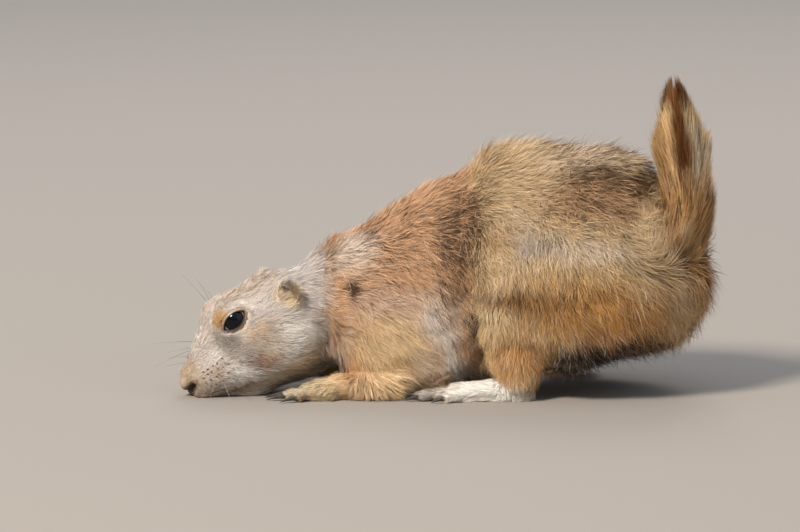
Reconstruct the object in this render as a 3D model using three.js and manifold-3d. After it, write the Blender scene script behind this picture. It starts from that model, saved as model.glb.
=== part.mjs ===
// A prairie dog at life size, crouching with its chin on the ground and its tail up.
// Millimetres, +Z up, the floor at z = 0. It faces -X, and its left side faces -Y.

import * as THREE from "three";
import { mergeVertices } from "three/addons/utils/BufferGeometryUtils.js";
import Module from "manifold-3d";

const wasm = await Module();
wasm.setup();

// Driving sizes
const gap = 0.3; // between two sub-parts that touch
const sides = { left: 1, right: -1 };
const eyeRadius = 6.2;
const eyeOpening = { length: 11.8, height: 8 };
const lidThickness = 1.1;
const ear = { height: 13, width: 11, depth: 6.5, thickness: 1.4, hollow: 2.4 };
const mouthLine = { radius: 0.8, turn: 1.45 }; // a groove, and the radians from the nose to its ends
const oldCoat = 4; // how much deeper the winter coat on the hindquarters is
const waist = { front: 3, back: 13 }; // where that coat starts, behind the middle
const toeRadius = { fore: 2.1, hind: 2.3 };
const clawLength = { fore: 9, hind: 7.5 };
const clawRadius = 1.3;
const blend = { body: 11, neck: 9, face: 5, limb: 4, paw: 3 }; // how far masses run into each other
const tailHeight = 143;
const tailCore = { radii: [6.5, 6.5, 5.8, 5, 3], end: 0.86 }; // from the root up to this share
// How far the brush's tips stand from its middle, over the share of the tail's length
const tailSpread = [[0, 10], [0.35, 11], [0.6, 12.5], [0.86, 13.5], [0.95, 9], [1.03, 2]];
const lockRows = 8;
const locksRound = 6;
const lockEnds = { first: 0.34, last: 1.01, ragged: 0.018 }; // shares of the tail's length
const lock = { length: 29, width: 9.5, depth: 2.2, rooted: 2.5 };

// Places on the animal. Each has its own forward, left and up.
function place(parent, [forward, left, up], yaw = 0, pitch = 0) {
  const group = new THREE.Group();
  group.position.set(-forward, -left, up);
  group.rotation.order = "ZYX";
  group.rotation.set(0, THREE.MathUtils.degToRad(-pitch), THREE.MathUtils.degToRad(yaw));
  parent.add(group);
  group.updateWorldMatrix(true, false);
  return group;
}

function at(group, forward, left, up) {
  return group.localToWorld(new THREE.Vector3(-forward, -left, up));
}

function along(group, forward, left, up) {
  const turn = group.getWorldQuaternion(new THREE.Quaternion());
  return new THREE.Vector3(-forward, -left, up).applyQuaternion(turn).normalize();
}

const animal = new THREE.Group();
animal.name = "prairie_dog";
const trunk = place(animal, [-1, 2, 0]);
const head = place(trunk, [102, 24, 35], 18, 28); // midway between the eyes
const pelvis = place(trunk, [-70, 12, 0], -25); // on the floor under the hips

// A mass is a muscle or bone with its fur, as a function that gives the distance
// from a point to its surface, negative inside.
function egg(group, centre, radii, turn = [0, 0, 0]) {
  const middle = at(group, ...centre);
  const own = new THREE.Quaternion().setFromEuler(
    new THREE.Euler(...turn.map(THREE.MathUtils.degToRad), "ZYX"),
  );
  const back = group.getWorldQuaternion(new THREE.Quaternion()).multiply(own).invert();
  const [a, b, c] = radii;
  const p = new THREE.Vector3();
  return (point) => {
    p.subVectors(point, middle).applyQuaternion(back);
    const near = Math.hypot(p.x / a, p.y / b, p.z / c);
    const slope = Math.hypot(p.x / (a * a), p.y / (b * b), p.z / (c * c));
    return slope > 1e-9 ? (near * (near - 1)) / slope : -Math.min(a, b, c);
  };
}

function limb(from, fromRadius, to, toRadius) {
  const run = new THREE.Vector3().subVectors(to, from);
  const squared = run.lengthSq();
  const p = new THREE.Vector3();
  return (point) => {
    p.subVectors(point, from);
    const share = THREE.MathUtils.clamp(p.dot(run) / squared, 0, 1);
    return p.addScaledVector(run, -share).length() - THREE.MathUtils.lerp(fromRadius, toRadius, share);
  };
}

function soften(a, b, reach) {
  const share = Math.max(reach - Math.abs(a - b), 0) / reach;
  return Math.min(a, b) - (share * share * reach) / 4;
}

// Masses that run into each other over a distance of reach
function flesh(reach, ...masses) {
  return (point) => masses.reduce((d, mass) => soften(d, mass(point), reach), Infinity);
}

// A point where a ray from inside meets the skin
const farthest = 90;
function surface(skin, origin, direction) {
  const ray = new THREE.Ray(origin, direction);
  const p = new THREE.Vector3();
  let inside = 0;
  let outside = 0;
  while (outside < farthest) {
    const depth = skin(ray.at(outside, p));
    if (depth > 0) break;
    inside = outside;
    outside += Math.max(-depth * 0.7, 0.25);
  }
  for (let i = 0; i < 14; i++) {
    const middle = (inside + outside) / 2;
    if (skin(ray.at(middle, p)) > 0) outside = middle;
    else inside = middle;
  }
  return ray.at(inside, new THREE.Vector3());
}

// The closed surface that rays from a bone find, in rings round it and fans at its two ends
function wrap(skin, bone, { rings, spokes, caps = 5, crown = new THREE.Vector3(0, 0, 1) }) {
  const rows = [];
  for (let i = 1; i < caps; i++) rows.push([0, -1 + i / caps]);
  for (let i = 0; i <= rings; i++) rows.push([i / rings, 0]);
  for (let i = 1; i < caps; i++) rows.push([1, i / caps]);
  const points = [];
  for (const [share, tilt] of rows) {
    const tangent = bone.getTangent(share);
    const side = new THREE.Vector3().crossVectors(crown, tangent).normalize();
    const top = new THREE.Vector3().crossVectors(tangent, side);
    for (let k = 0; k < spokes; k++) {
      const angle = (k / spokes) * 2 * Math.PI;
      const lean = (tilt * Math.PI) / 2;
      const out = side.clone().multiplyScalar(Math.sin(angle)).addScaledVector(top, Math.cos(angle));
      out.multiplyScalar(Math.cos(lean)).addScaledVector(tangent, Math.sin(lean));
      points.push(surface(skin, bone.getPoint(share), out));
    }
  }
  const start = points.length;
  const end = start + 1;
  points.push(surface(skin, bone.getPoint(0), bone.getTangent(0).negate()));
  points.push(surface(skin, bone.getPoint(1), bone.getTangent(1)));
  const faces = [];
  for (let k = 0; k < spokes; k++) {
    const next = (k + 1) % spokes;
    const last = (rows.length - 1) * spokes;
    faces.push(start, k, next, end, last + next, last + k);
    for (let r = 0; r + 1 < rows.length; r++) {
      const a = r * spokes + k;
      const b = r * spokes + next;
      faces.push(a, a + spokes, b, b, a + spokes, b + spokes);
    }
  }
  return new THREE.BufferGeometry().setFromPoints(points).setIndex(faces);
}

// Solids
function solid(geometry) {
  const bare = geometry.clone();
  bare.deleteAttribute("normal");
  bare.deleteAttribute("uv");
  const merged = mergeVertices(bare, 1e-4);
  return new wasm.Manifold(
    new wasm.Mesh({
      numProp: 3,
      vertProperties: merged.attributes.position.array,
      triVerts: new Uint32Array(merged.index.array),
    }),
  );
}

function join(...solids) {
  return solids.reduce((whole, piece) => whole.add(piece));
}

function largest(body) {
  return body.decompose().reduce((a, b) => (a.volume() > b.volume() ? a : b));
}

// Keeps what lies on the side of a plane that its normal points to
function keep(body, point, normal, clearance = gap / 2) {
  return body.trimByPlane(normal.toArray(), point.dot(normal) + clearance);
}

function onFloor(body) {
  return body.trimByPlane([0, 0, 1], 0);
}

function placed(geometry, centre, turn, size = new THREE.Vector3(1, 1, 1)) {
  return solid(geometry.clone().applyMatrix4(new THREE.Matrix4().compose(centre, turn, size)));
}

function ball(centre, radii, turn, across, down) {
  return placed(new THREE.SphereGeometry(1, across, down), centre, turn, new THREE.Vector3(...radii));
}

// Colours, and the group that is exported
const coats = {
  buff: { color: 0xc39a68, roughness: 0.9 },
  rufous: { color: 0xa8703f, roughness: 0.9 },
  cream: { color: 0xd8c3a0, roughness: 0.9 },
  tailTip: { color: 0x5a3a22, roughness: 0.9 },
  noseSkin: { color: 0x4a3329, roughness: 0.55 },
  eye: { color: 0x0d0a08, roughness: 0.05 },
  claw: { color: 0x2e2621, roughness: 0.4 },
};
const materials = {};
for (const [name, look] of Object.entries(coats)) {
  materials[name] = new THREE.MeshStandardMaterial({ name, metalness: 0, ...look });
}

function addPart(group, name, body, material) {
  const { numVert, numProp, vertProperties, triVerts } = largest(body).getMesh();
  const corners = [];
  for (let i = 0; i < numVert; i++) {
    corners.push(group.worldToLocal(new THREE.Vector3().fromArray(vertProperties, i * numProp)));
  }
  const geometry = new THREE.BufferGeometry().setFromPoints(corners).setIndex([...triVerts]);
  geometry.computeVertexNormals();
  const part = new THREE.Mesh(geometry, materials[material]);
  part.name = name;
  group.add(part);
}

// A closed horn: rings of a given radius round a curve, to a point at its end
function horn(curve, radius, rings = 3, spokes = 5) {
  const crown = new THREE.Vector3(0, 0, 1);
  const points = [];
  for (let r = 0; r < rings; r++) {
    const tangent = curve.getTangent(r / rings);
    const side = new THREE.Vector3().crossVectors(crown, tangent).normalize();
    const top = new THREE.Vector3().crossVectors(tangent, side);
    for (let k = 0; k < spokes; k++) {
      const angle = (k / spokes) * 2 * Math.PI;
      const out = side.clone().multiplyScalar(Math.sin(angle)).addScaledVector(top, Math.cos(angle));
      points.push(curve.getPoint(r / rings).addScaledVector(out, radius * (1 - r / rings) ** 0.7));
    }
  }
  const start = points.length;
  points.push(curve.getPoint(0), curve.getPoint(1));
  const faces = [];
  for (let k = 0; k < spokes; k++) {
    const next = (k + 1) % spokes;
    const last = (rings - 1) * spokes;
    faces.push(start, k, next, start + 1, last + next, last + k);
    for (let r = 0; r + 1 < rings; r++) {
      const a = r * spokes + k;
      const b = r * spokes + next;
      faces.push(a, a + spokes, b, b, a + spokes, b + spokes);
    }
  }
  return new THREE.BufferGeometry().setFromPoints(points).setIndex(faces);
}

// Turns +X, +Y and +Z to an eye's or ear's own across, up and out
function facing(out, across) {
  const z = out.clone().normalize();
  const y = new THREE.Vector3().crossVectors(z, across).normalize();
  const x = new THREE.Vector3().crossVectors(y, z);
  return new THREE.Quaternion().setFromRotationMatrix(new THREE.Matrix4().makeBasis(x, y, z));
}

// Head masses: cranium, muzzle, lower jaw, throat, brows, cheeks and whisker pads
const headMasses = [
  egg(head, [-13, 0, -9], [26, 19.5, 17.5]),
  limb(at(head, 2, 0, -6), 12.5, at(head, 24.5, 0, -17), 6.8),
  limb(at(head, 22.5, 0, -25.5), 3.8, at(head, 3, 0, -29), 10),
  limb(at(head, 3, 0, -29), 10, at(head, -20, 0, -29), 15),
];
for (const side of Object.values(sides)) {
  headMasses.push(
    egg(head, [-2, 10.5 * side, 0.5], [10.5, 6.2, 7]),
    egg(head, [-11, 11.5 * side, -19], [20, 11, 16]),
    egg(head, [21.5, 4.5 * side, -20.5], [8.5, 5, 6]),
    egg(head, [9, 8 * side, -19], [14, 6.5, 9]),
  );
}

// Trunk masses: neck, chest, ribs, belly, loin, rump and seat
const trunkMasses = [
  limb(at(head, -26, 0, -14), 20, at(trunk, 50, 2, 41), 27),
  egg(trunk, [26, 0, 42], [42, 35, 37]),
  egg(trunk, [-2, 0, 50], [38, 37, 45]),
  egg(trunk, [-34, 2, 62], [40, 36, 46]),
  egg(pelvis, [3, 0, 64], [40, 36, 43]),
  egg(pelvis, [-15, 0, 54], [30, 33, 31]),
];

// Thighs, knees, upper arms and elbows lie against the trunk and run into it.
const limbMasses = [];
for (const side of Object.values(sides)) {
  limbMasses.push(
    egg(pelvis, [8, 31 * side, 50], [36, 17, 33], [0, -24, 0]),
    egg(pelvis, [33, 38 * side, 42], [14, 11, 17]),
    egg(trunk, [27, 28 * side, 27], [30, 14, 19], [0, 38, 0]),
    egg(trunk, [36, 27 * side, 10], [17, 12, 11]),
  );
}

const face = flesh(blend.face, ...headMasses);
const body = flesh(blend.body, ...trunkMasses, ...limbMasses);
const flank = (point) => {
  const share = THREE.MathUtils.smoothstep(point.x, waist.front, waist.back);
  return body(point) - oldCoat * share;
};
const skin = flesh(blend.neck, face, flank);
const headSkin = flesh(blend.neck, face, flesh(blend.body, ...trunkMasses));
const clearOf = (mass) => (point) => mass(point) - gap;

const spine = new THREE.CatmullRomCurve3([
  at(head, -20, 0, -14),
  at(trunk, 46, 2, 42),
  at(trunk, 10, 0, 48),
  at(trunk, -34, 2, 56),
  at(pelvis, 2, 0, 57),
]);
const rounds = { rings: 25, spokes: 28 };
const nape = [at(head, -37, 0, -10), along(head, 1, 0, 0.12)];
const torso = keep(solid(wrap(skin, spine, rounds)), nape[0], nape[1].clone().negate());
const roundTorso = solid(wrap(clearOf(skin), spine, rounds));

const skull = new THREE.LineCurve3(at(head, -40, 0, -14), at(head, 19, 0, -18));
const skullRounds = { rings: 20, spokes: 32 };
let headSolid = keep(solid(wrap(headSkin, skull, skullRounds)), ...nape);
const roundHead = solid(wrap(clearOf(headSkin), skull, skullRounds));

// Eyes, each in a socket under lids that leave an almond opening
const almond = new THREE.Shape();
almond.moveTo(-eyeOpening.length / 2, 0);
for (const [way, bulge] of [[1, 0.68], [-1, -0.62]]) {
  // the upper edge, then the lower one back
  const x = (way * eyeOpening.length) / 2;
  const y = bulge * eyeOpening.height;
  almond.bezierCurveTo(-x / 2, y, x / 2, y, x, 0);
}
const slit = new THREE.ExtrudeGeometry(almond, {
  depth: 3 * eyeRadius,
  bevelEnabled: false,
  curveSegments: 5,
});
const eyeBall = (centre, radius, turn, down = 10) => ball(centre, Array(3).fill(radius), turn, 16, down);
for (const [name, side] of Object.entries(sides)) {
  const centre = at(head, -1.5, 10.8 * side, 0);
  const turn = facing(along(head, 0.22, side, 0.12), along(head, -0.96, 0, 0.26));
  headSolid = join(headSolid, eyeBall(centre, eyeRadius + lidThickness, turn));
  headSolid = headSolid.subtract(placed(slit, centre, turn));
  headSolid = headSolid.subtract(eyeBall(centre, eyeRadius + gap, turn));
  addPart(head, `eye_${name}`, eyeBall(centre, eyeRadius, turn, 9), "eye");
}

// Nose pad with two nostrils
const noseTurn = head.getWorldQuaternion(new THREE.Quaternion());
const noseCentre = at(head, 27.6, 0, -17.8);
const noseSize = [4.6, 5.4, 5];
headSolid = headSolid.subtract(ball(noseCentre, noseSize.map((r) => r + gap), noseTurn, 14, 8));
let nose = ball(noseCentre, noseSize, noseTurn, 14, 8);
for (const side of Object.values(sides)) {
  nose = nose.subtract(ball(at(head, 31, 3.2 * side, -19.2), [2, 1.2, 1.3], noseTurn, 8, 6));
}
addPart(head, "nose", nose, "noseSkin");

// Mouth line, from one corner round under the nose to the other
const lips = [];
const lipPoints = 13;
for (let i = 0; i < lipPoints; i++) {
  const aside = THREE.MathUtils.mapLinear(i, 0, lipPoints - 1, -1, 1);
  const back = Math.abs(aside) ** 1.6;
  const inside = at(head, 23 - 11 * back, 0, -23.5 - 6 * back);
  const angle = aside * mouthLine.turn;
  lips.push(surface(headSkin, inside, along(head, Math.cos(angle), Math.sin(angle), -0.25)));
}
const groove = new THREE.Shape().absarc(0, 0, mouthLine.radius, 0, 2 * Math.PI);
const mouth = new THREE.ExtrudeGeometry(groove, {
  steps: 14,
  curveSegments: 3,
  extrudePath: new THREE.CatmullRomCurve3(lips),
  bevelEnabled: false,
});
headSolid = headSolid.subtract(solid(mouth));
addPart(head, "head", onFloor(headSolid), "cream");

// Ears: low round cups that open sideways
for (const [name, side] of Object.entries(sides)) {
  const out = along(head, 0.35, side, 0.2);
  const turn = facing(out, along(head, -1, 0, 0.1));
  const centre = at(head, -27.5, 18.4 * side, -1);
  const [x, y, z] = [ear.width / 2, ear.height / 2, ear.depth / 2];
  const shell = ball(centre, [x, y, z], turn, 12, 6);
  centre.addScaledVector(out, ear.hollow);
  const bowl = ball(centre, [x - ear.thickness, y - ear.thickness, z], turn, 12, 6);
  addPart(head, `ear_${name}`, shell.subtract(bowl).subtract(roundHead), "buff");
}

// Thighs and upper arms are the parts of the trunk inside an egg round each.
let rest = torso;
const bigLimbs = [];
for (const [name, side] of Object.entries(sides)) {
  bigLimbs.push(
    [`thigh_${name}`, pelvis, [12, 46 * side, 46], [36, 27, 36], "buff"],
    [`upper_arm_${name}`, trunk, [25, 40 * side, 18], [34, 22, 27], "rufous"],
  );
}
for (const [name, group, centre, size, material] of bigLimbs) {
  const turn = group.getWorldQuaternion(new THREE.Quaternion());
  const inner = ball(at(group, ...centre), size.map((r) => r - gap / 2), turn, 18, 12);
  const outer = ball(at(group, ...centre), size.map((r) => r + gap / 2), turn, 18, 12);
  addPart(group, name, onFloor(torso.intersect(inner)), material);
  rest = rest.subtract(outer);
}

// The trunk between them, in four lengths
const girths = [
  [at(trunk, 50, 0, 40), along(trunk, 1, 0, -0.15)],
  [at(trunk, -3, 0, 50), along(trunk, 1, 0, 0)],
  [at(trunk, -44, 0, 60), along(trunk, 1, 0, 0.2)],
];
["neck", "chest", "loin", "rump"].forEach((name, i) => {
  let length = rest;
  if (i > 0) length = keep(length, girths[i - 1][0], girths[i - 1][1].clone().negate());
  if (i < girths.length) length = keep(length, ...girths[i]);
  addPart(trunk, name, onFloor(length), i < 2 ? "rufous" : "buff");
});

// Paws: a pad with toes, each flat at its end where its claw begins. The pad's two ends are
// given forward, up and half apart. A toe has forward and outward at its root, then at its tip.
const paws = {
  fore: {
    name: "fore_paw",
    heel: { forward: -2, up: 5, apart: 2, radius: 5.2 },
    ball: { forward: 10, up: 3.6, apart: 3, radius: 4 },
    toes: [
      [3, -5, 7, -8.4],
      [9, -4.4, 17.5, -7],
      [10, -1.4, 20.5, -2.3],
      [10, 1.6, 20, 2.4],
      [8, 4.6, 15, 7.4],
    ],
  },
  hind: {
    name: "hind_foot",
    heel: { forward: 4, up: 4.6, apart: 1.5, radius: 5 },
    ball: { forward: 35, up: 3.7, apart: 3.4, radius: 4 },
    toes: [
      [31, -5, 39.5, -8.4],
      [37, -4, 50, -6.4],
      [38, -1.2, 53, -1.9],
      [37, 1.8, 51, 2.6],
      [31, 5, 40, 8],
    ],
  },
};

function addPaw(group, limbName, sideName) {
  const { name, toes, ...ends } = paws[limbName];
  const side = sides[sideName];
  const radius = toeRadius[limbName];
  const end = ({ forward, up, apart }, half) => at(group, forward, half * apart, up);
  const halves = [-1, 1].map((half) =>
    limb(end(ends.heel, half), ends.heel.radius, end(ends.ball, half), ends.ball.radius),
  );
  const pad = flesh(blend.paw, ...halves);
  const sole = new THREE.LineCurve3(end(ends.heel, 0), end(ends.ball, 0));
  const soleRounds = { rings: 5, spokes: 12, caps: 2 };
  let paw = solid(wrap(pad, sole, soleRounds));
  toes.forEach(([root, rootOut, tip, tipOut], i) => {
    const bone = new THREE.QuadraticBezierCurve3(
      at(group, root, rootOut * side, 3.4),
      at(group, (root + tip) / 2, ((rootOut + tipOut) / 2) * side, 4.4),
      at(group, tip, tipOut * side, radius * 0.85),
    );
    const knuckle = bone.getPoint(0.5);
    const toeEnd = bone.getPoint(1);
    const toe = flesh(
      1,
      limb(bone.getPoint(0), radius, knuckle, radius * 0.9),
      limb(knuckle, radius, toeEnd, radius * 0.9),
    );
    const ahead = bone.getTangent(1).setZ(0).normalize();
    const wholeToe = solid(wrap(toe, bone, { rings: 3, spokes: 6, caps: 2 }));
    paw = join(paw, keep(wholeToe, toeEnd, ahead.clone().negate(), 0));
    const start = toeEnd.clone().addScaledVector(ahead, gap);
    const length = clawLength[limbName] * (i === 0 ? 0.7 : 1);
    const hook = new THREE.QuadraticBezierCurve3(
      start,
      start.clone().addScaledVector(ahead, length * 0.55).setZ(2.2),
      start.clone().addScaledVector(ahead, length).setZ(0.4),
    );
    addPart(group, `claw_${limbName}_${sideName}_${i + 1}`, onFloor(solid(horn(hook, clawRadius))), "claw");
  });
  addPart(group, `${name}_${sideName}`, onFloor(paw), "cream");
  return solid(wrap(clearOf(pad), sole, soleRounds));
}

// Lower legs, each on its paw
const backward = new THREE.Vector3(1, 0, 0);
const stride = { left: 0, right: 9 };
const splay = { left: 28, right: -6 };
for (const [name, side] of Object.entries(sides)) {
  const foot = place(pelvis, [18 + stride[name], 38 * side, 0], splay[name]);
  const roundFoot = addPaw(foot, "hind", name);
  const shin = [at(pelvis, 25 + stride[name], 38 * side, 34), at(pelvis, 23 + stride[name], 41 * side, 12)];
  const shank = limb(shin[0], 13, shin[1], 9.5);
  const shankRounds = { rings: 4, spokes: 14, caps: 3, crown: backward };
  const shankSolid = solid(wrap(shank, new THREE.LineCurve3(...shin), shankRounds));
  addPart(pelvis, `shank_${name}`, onFloor(shankSolid.subtract(roundTorso).subtract(roundFoot)), "buff");

  const hand = place(trunk, [54, 38 * side, 0], 4 * side);
  const roundHand = addPaw(hand, "fore", name);
  const arm = [at(trunk, 29, 36 * side, 8.4), at(trunk, 51, 38 * side, 6)];
  const forearm = limb(arm[0], 8.8, arm[1], 5.4);
  const armSolid = solid(wrap(forearm, new THREE.LineCurve3(...arm), { rings: 5, spokes: 12, caps: 3 }));
  const bareArm = armSolid.subtract(roundTorso).subtract(roundHead).subtract(roundHand);
  addPart(trunk, `forearm_${name}`, onFloor(bareArm), "rufous");
}

// Tail, upright: a core under flat tapered locks of bristly hair that reach out and up
const tailBone = new THREE.CatmullRomCurve3([
  at(pelvis, -26, 0, 52),
  at(pelvis, -38, 0, 70),
  at(pelvis, -40.5, 0, 92),
  at(pelvis, -35.5, 0, 122),
  at(pelvis, -33, 0, tailHeight - 3),
]);
const core = [];
for (let i = 1; i < tailBone.points.length; i++) {
  const [from, to] = tailBone.points.slice(i - 1, i + 1);
  core.push(limb(from, tailCore.radii[i - 1], to, tailCore.radii[i]));
}
const coreRounds = { rings: 7, spokes: 8, caps: 2, crown: backward };
const wholeCore = solid(wrap(flesh(blend.limb, ...core), tailBone, coreRounds));
let tail = keep(wholeCore, tailBone.getPoint(tailCore.end), new THREE.Vector3(0, 0, -1));

// A lock is three four-cornered rings, each a share of the way along it, and a point.
const lockRings = [[0, 0.7], [0.4, 1], [0.75, 0.66]];
function lockOfHair(root, bend, tip, across) {
  const curve = new THREE.QuadraticBezierCurve3(root, bend, tip);
  const points = [];
  for (const [share, size] of lockRings) {
    const side = across.clone().multiplyScalar((size * lock.width) / 2);
    const deep = new THREE.Vector3().crossVectors(curve.getTangent(share), across);
    deep.setLength((size * lock.depth) / 2);
    for (const way of [1, -1]) {
      points.push(curve.getPoint(share).addScaledVector(side, way));
      points.push(curve.getPoint(share).addScaledVector(deep, way));
    }
  }
  points.push(tip);
  const faces = [0, 2, 1, 0, 3, 2];
  for (let k = 0; k < 4; k++) {
    const next = (k + 1) % 4;
    for (const row of [0, 4]) {
      faces.push(row + k, row + next, row + 4 + k, row + next, row + 4 + next, row + 4 + k);
    }
    faces.push(8 + k, 8 + next, 12);
  }
  return solid(new THREE.BufferGeometry().setFromPoints(points).setIndex(faces));
}

const spread = tailSpread.map(([share, reach]) => new THREE.Vector2(share, reach));
function reachAt(share) {
  const next = Math.max(1, spread.findIndex((point) => point.x >= share));
  const [from, to] = [spread[next - 1], spread[next]];
  return THREE.MathUtils.mapLinear(share, from.x, to.x, from.y, to.y);
}

const tailLength = tailBone.getLength();
for (let row = 0; row < lockRows; row++) {
  for (let k = 0; k < locksRound; k++) {
    const wobble = Math.sin(12.9 * row + 78.2 * k);
    const end = THREE.MathUtils.mapLinear(row, 0, lockRows - 1, lockEnds.first, lockEnds.last)
      + lockEnds.ragged * wobble;
    const start = end - lock.length / tailLength;
    const angle = ((k + (row % 2) / 2 + 0.1 * wobble) / locksRound) * 2 * Math.PI;
    const tangent = tailBone.getTangentAt(start);
    const across = new THREE.Vector3(-Math.sin(angle), Math.cos(angle), 0);
    const out = new THREE.Vector3().crossVectors(across, tangent).normalize();
    const root = tailBone.getPointAt(start).addScaledVector(out, lock.rooted);
    const tip = tailBone.getPointAt(Math.min(end, 1)).addScaledVector(out, reachAt(end));
    if (end > 1) tip.z += (end - 1) * tailLength;
    const bend = root.clone().lerp(tip, 0.5).addScaledVector(out, lock.depth);
    tail = join(tail, lockOfHair(root, bend, tip, across));
  }
}
addPart(pelvis, "tail", tail.subtract(roundTorso), "buff");

export default animal;
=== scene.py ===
import math

import bpy
import numpy as np
from mathutils import Matrix, Vector
from mathutils.bvhtree import BVHTree
from mathutils.kdtree import KDTree


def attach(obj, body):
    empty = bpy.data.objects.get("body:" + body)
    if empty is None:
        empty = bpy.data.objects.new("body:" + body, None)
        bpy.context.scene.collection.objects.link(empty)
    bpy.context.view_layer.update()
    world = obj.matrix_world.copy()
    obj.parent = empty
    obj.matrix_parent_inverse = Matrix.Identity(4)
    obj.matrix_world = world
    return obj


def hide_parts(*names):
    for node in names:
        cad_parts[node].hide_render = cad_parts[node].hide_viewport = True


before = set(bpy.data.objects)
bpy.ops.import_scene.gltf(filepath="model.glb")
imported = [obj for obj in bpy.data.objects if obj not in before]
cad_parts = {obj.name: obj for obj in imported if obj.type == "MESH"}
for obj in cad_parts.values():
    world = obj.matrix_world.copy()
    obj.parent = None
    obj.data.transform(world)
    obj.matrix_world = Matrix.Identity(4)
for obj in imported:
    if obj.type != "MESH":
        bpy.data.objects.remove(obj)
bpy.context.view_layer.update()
mm = 0.001
sides = {"left": 1, "right": -1}


# Places on the animal, each with its own forward, left and up. It faces -X.
def placeOn(parent, forward, left, up, yaw=0.0, pitch=0.0):
    turn = Matrix.Rotation(math.radians(yaw), 4, "Z") @ Matrix.Rotation(math.radians(-pitch), 4, "Y")
    return parent @ Matrix.Translation(Vector((-forward, -left, up)) * mm) @ turn


places = {"trunk": placeOn(Matrix.Identity(4), -1, 2, 0)}
places["head"] = placeOn(places["trunk"], 102, 24, 35, 18, 28)
places["pelvis"] = placeOn(places["trunk"], -70, 12, 0, -25)
places["handLeft"] = placeOn(places["trunk"], 54, 38, 0, 4)
places["handRight"] = placeOn(places["trunk"], 54, -38, 0, -4)
places["footLeft"] = placeOn(places["pelvis"], 18, 38, 0, 28)
places["footRight"] = placeOn(places["pelvis"], 27, -38, 0, -6)


def at(place, forward, left, up):
    return places[place] @ (Vector((-forward, -left, up)) * mm)


def along(place, forward, left, up):
    return (places[place].to_3x3() @ Vector((-forward, -left, up))).normalized()


def listed(table):
    # the rows of a table kept by place, each with its place in front, and a paw's on both sides
    rows = []
    for part, marks in table.items():
        for place in [part] if part in places else [part + "Left", part + "Right"]:
            rows += [(place, *mark) for mark in marks]
    return rows


def dropSelection():
    if bpy.context.object and bpy.context.object.mode != "OBJECT":
        bpy.ops.object.mode_set(mode="OBJECT")
    bpy.ops.object.select_all(action="DESELECT")


def pickOnly(piece):
    dropSelection()
    piece.select_set(True)
    bpy.context.view_layer.objects.active = piece


def applyModifier(piece, kind, **settings):
    pickOnly(piece)
    made = piece.modifiers.new(kind.lower(), kind)
    for key, value in settings.items():
        setattr(made, key, value)
    bpy.ops.object.modifier_apply(modifier=made.name)


def editAll(piece):
    pickOnly(piece)
    bpy.ops.object.mode_set(mode="EDIT")
    bpy.ops.mesh.select_all(action="SELECT")


def smooth(piece):
    pickOnly(piece)
    bpy.ops.object.shade_smooth()


def numbers(items, name, width=1, kind=np.float32):
    # one property of many mesh elements as an array
    found = np.empty(len(items) * width, kind)
    items.foreach_get(name, found)
    return found.reshape(-1, width) if width > 1 else found


def addField(mesh, name, values):
    # an attribute with a number or a vector to each point
    values = np.asarray(values, np.float32)
    kind, key = ("FLOAT", "value") if values.ndim == 1 else ("FLOAT_VECTOR", "vector")
    mesh.attributes.new(name, kind, "POINT").data.foreach_set(key, values.ravel())


def addPiece(title, mesh):
    piece = bpy.data.objects.new(title, mesh)
    bpy.context.scene.collection.objects.link(piece)
    return piece


def pieceFrom(title, spots, faces, dark=None):
    mesh = bpy.data.meshes.new(title)
    mesh.from_pydata(spots, [], faces)
    if dark is not None:
        addField(mesh, "dark", dark)
    mesh.update()
    return addPiece(title, mesh)


def ringAt(middle, side, above, radius, count):
    turns = [2 * math.pi * k / count for k in range(count)]
    return [middle + (side * math.cos(turn) + above * math.sin(turn)) * radius for turn in turns]


def bandFaces(base, rows, count):
    # the faces between rings of points that follow each other
    faces = []
    for row in range(rows - 1):
        for k in range(count):
            a, b = base + count * row + k, base + count * row + (k + 1) % count
            faces.append((a, b, b + count, a + count))
    return faces


# Camera, floor and light
stagePlan = {
    "look": 8.0,  # degrees down
    "distance": 3.0,
    "lens": 296.7,
    "middle": (-0.02175, -0.002, 0.0),
    "lift": 0.0546,
    "floor": 12.0,
    "lamps": {  # place, power, size and colour, each aimed at the middle of the animal
        "key": ((-1.5, -2.0, 2.3), 160.0, 0.8, (1.0, 0.955, 0.885)),
        "fill": ((1.5, -1.2, 0.7), 5.0, 1.6, (0.90, 0.95, 1.0)),
        "rim": ((0.3, 1.5, 1.6), 14.0, 1.0, (1.0, 0.97, 0.92)),
    },
    "aim": (0, 0, 0.06),
    "skyAbove": (0.52, 0.62, 0.80),
    "skyAround": (0.22, 0.22, 0.215),
}


def setStage(plan):
    tilt = math.radians(plan["look"])
    ahead = Vector((0, math.cos(tilt), -math.sin(tilt)))
    above = Vector((0, math.sin(tilt), math.cos(tilt)))
    middle = Vector(plan["middle"]) + above * plan["lift"]
    dropSelection()
    bpy.ops.object.camera_add(location=middle - ahead * plan["distance"])
    camera = bpy.context.object
    camera.rotation_euler = (math.pi / 2 - tilt, 0, 0)
    camera.data.lens = plan["lens"]
    camera.data.sensor_width = 36
    camera.data.clip_end = 30
    bpy.context.scene.camera = camera
    dropSelection()
    bpy.ops.mesh.primitive_plane_add(size=plan["floor"], location=(0, 2, 0))
    floor = bpy.context.object
    floor.name = "floor"
    floor.data.transform(floor.matrix_world)
    floor.matrix_world = Matrix.Identity(4)
    for title, (spot, power, size, colour) in plan["lamps"].items():
        bpy.ops.object.light_add(type="AREA", location=spot)
        lamp = bpy.context.object
        lamp.name = title
        lamp.data.energy = power
        lamp.data.size = size
        lamp.data.color = colour
        lamp.rotation_euler = (Vector(plan["aim"]) - Vector(spot)).to_track_quat("-Z", "Y").to_euler()
    bpy.context.scene.view_settings.view_transform = "Standard"
    return floor


floor = setStage(stagePlan)
print("stage set")


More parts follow.
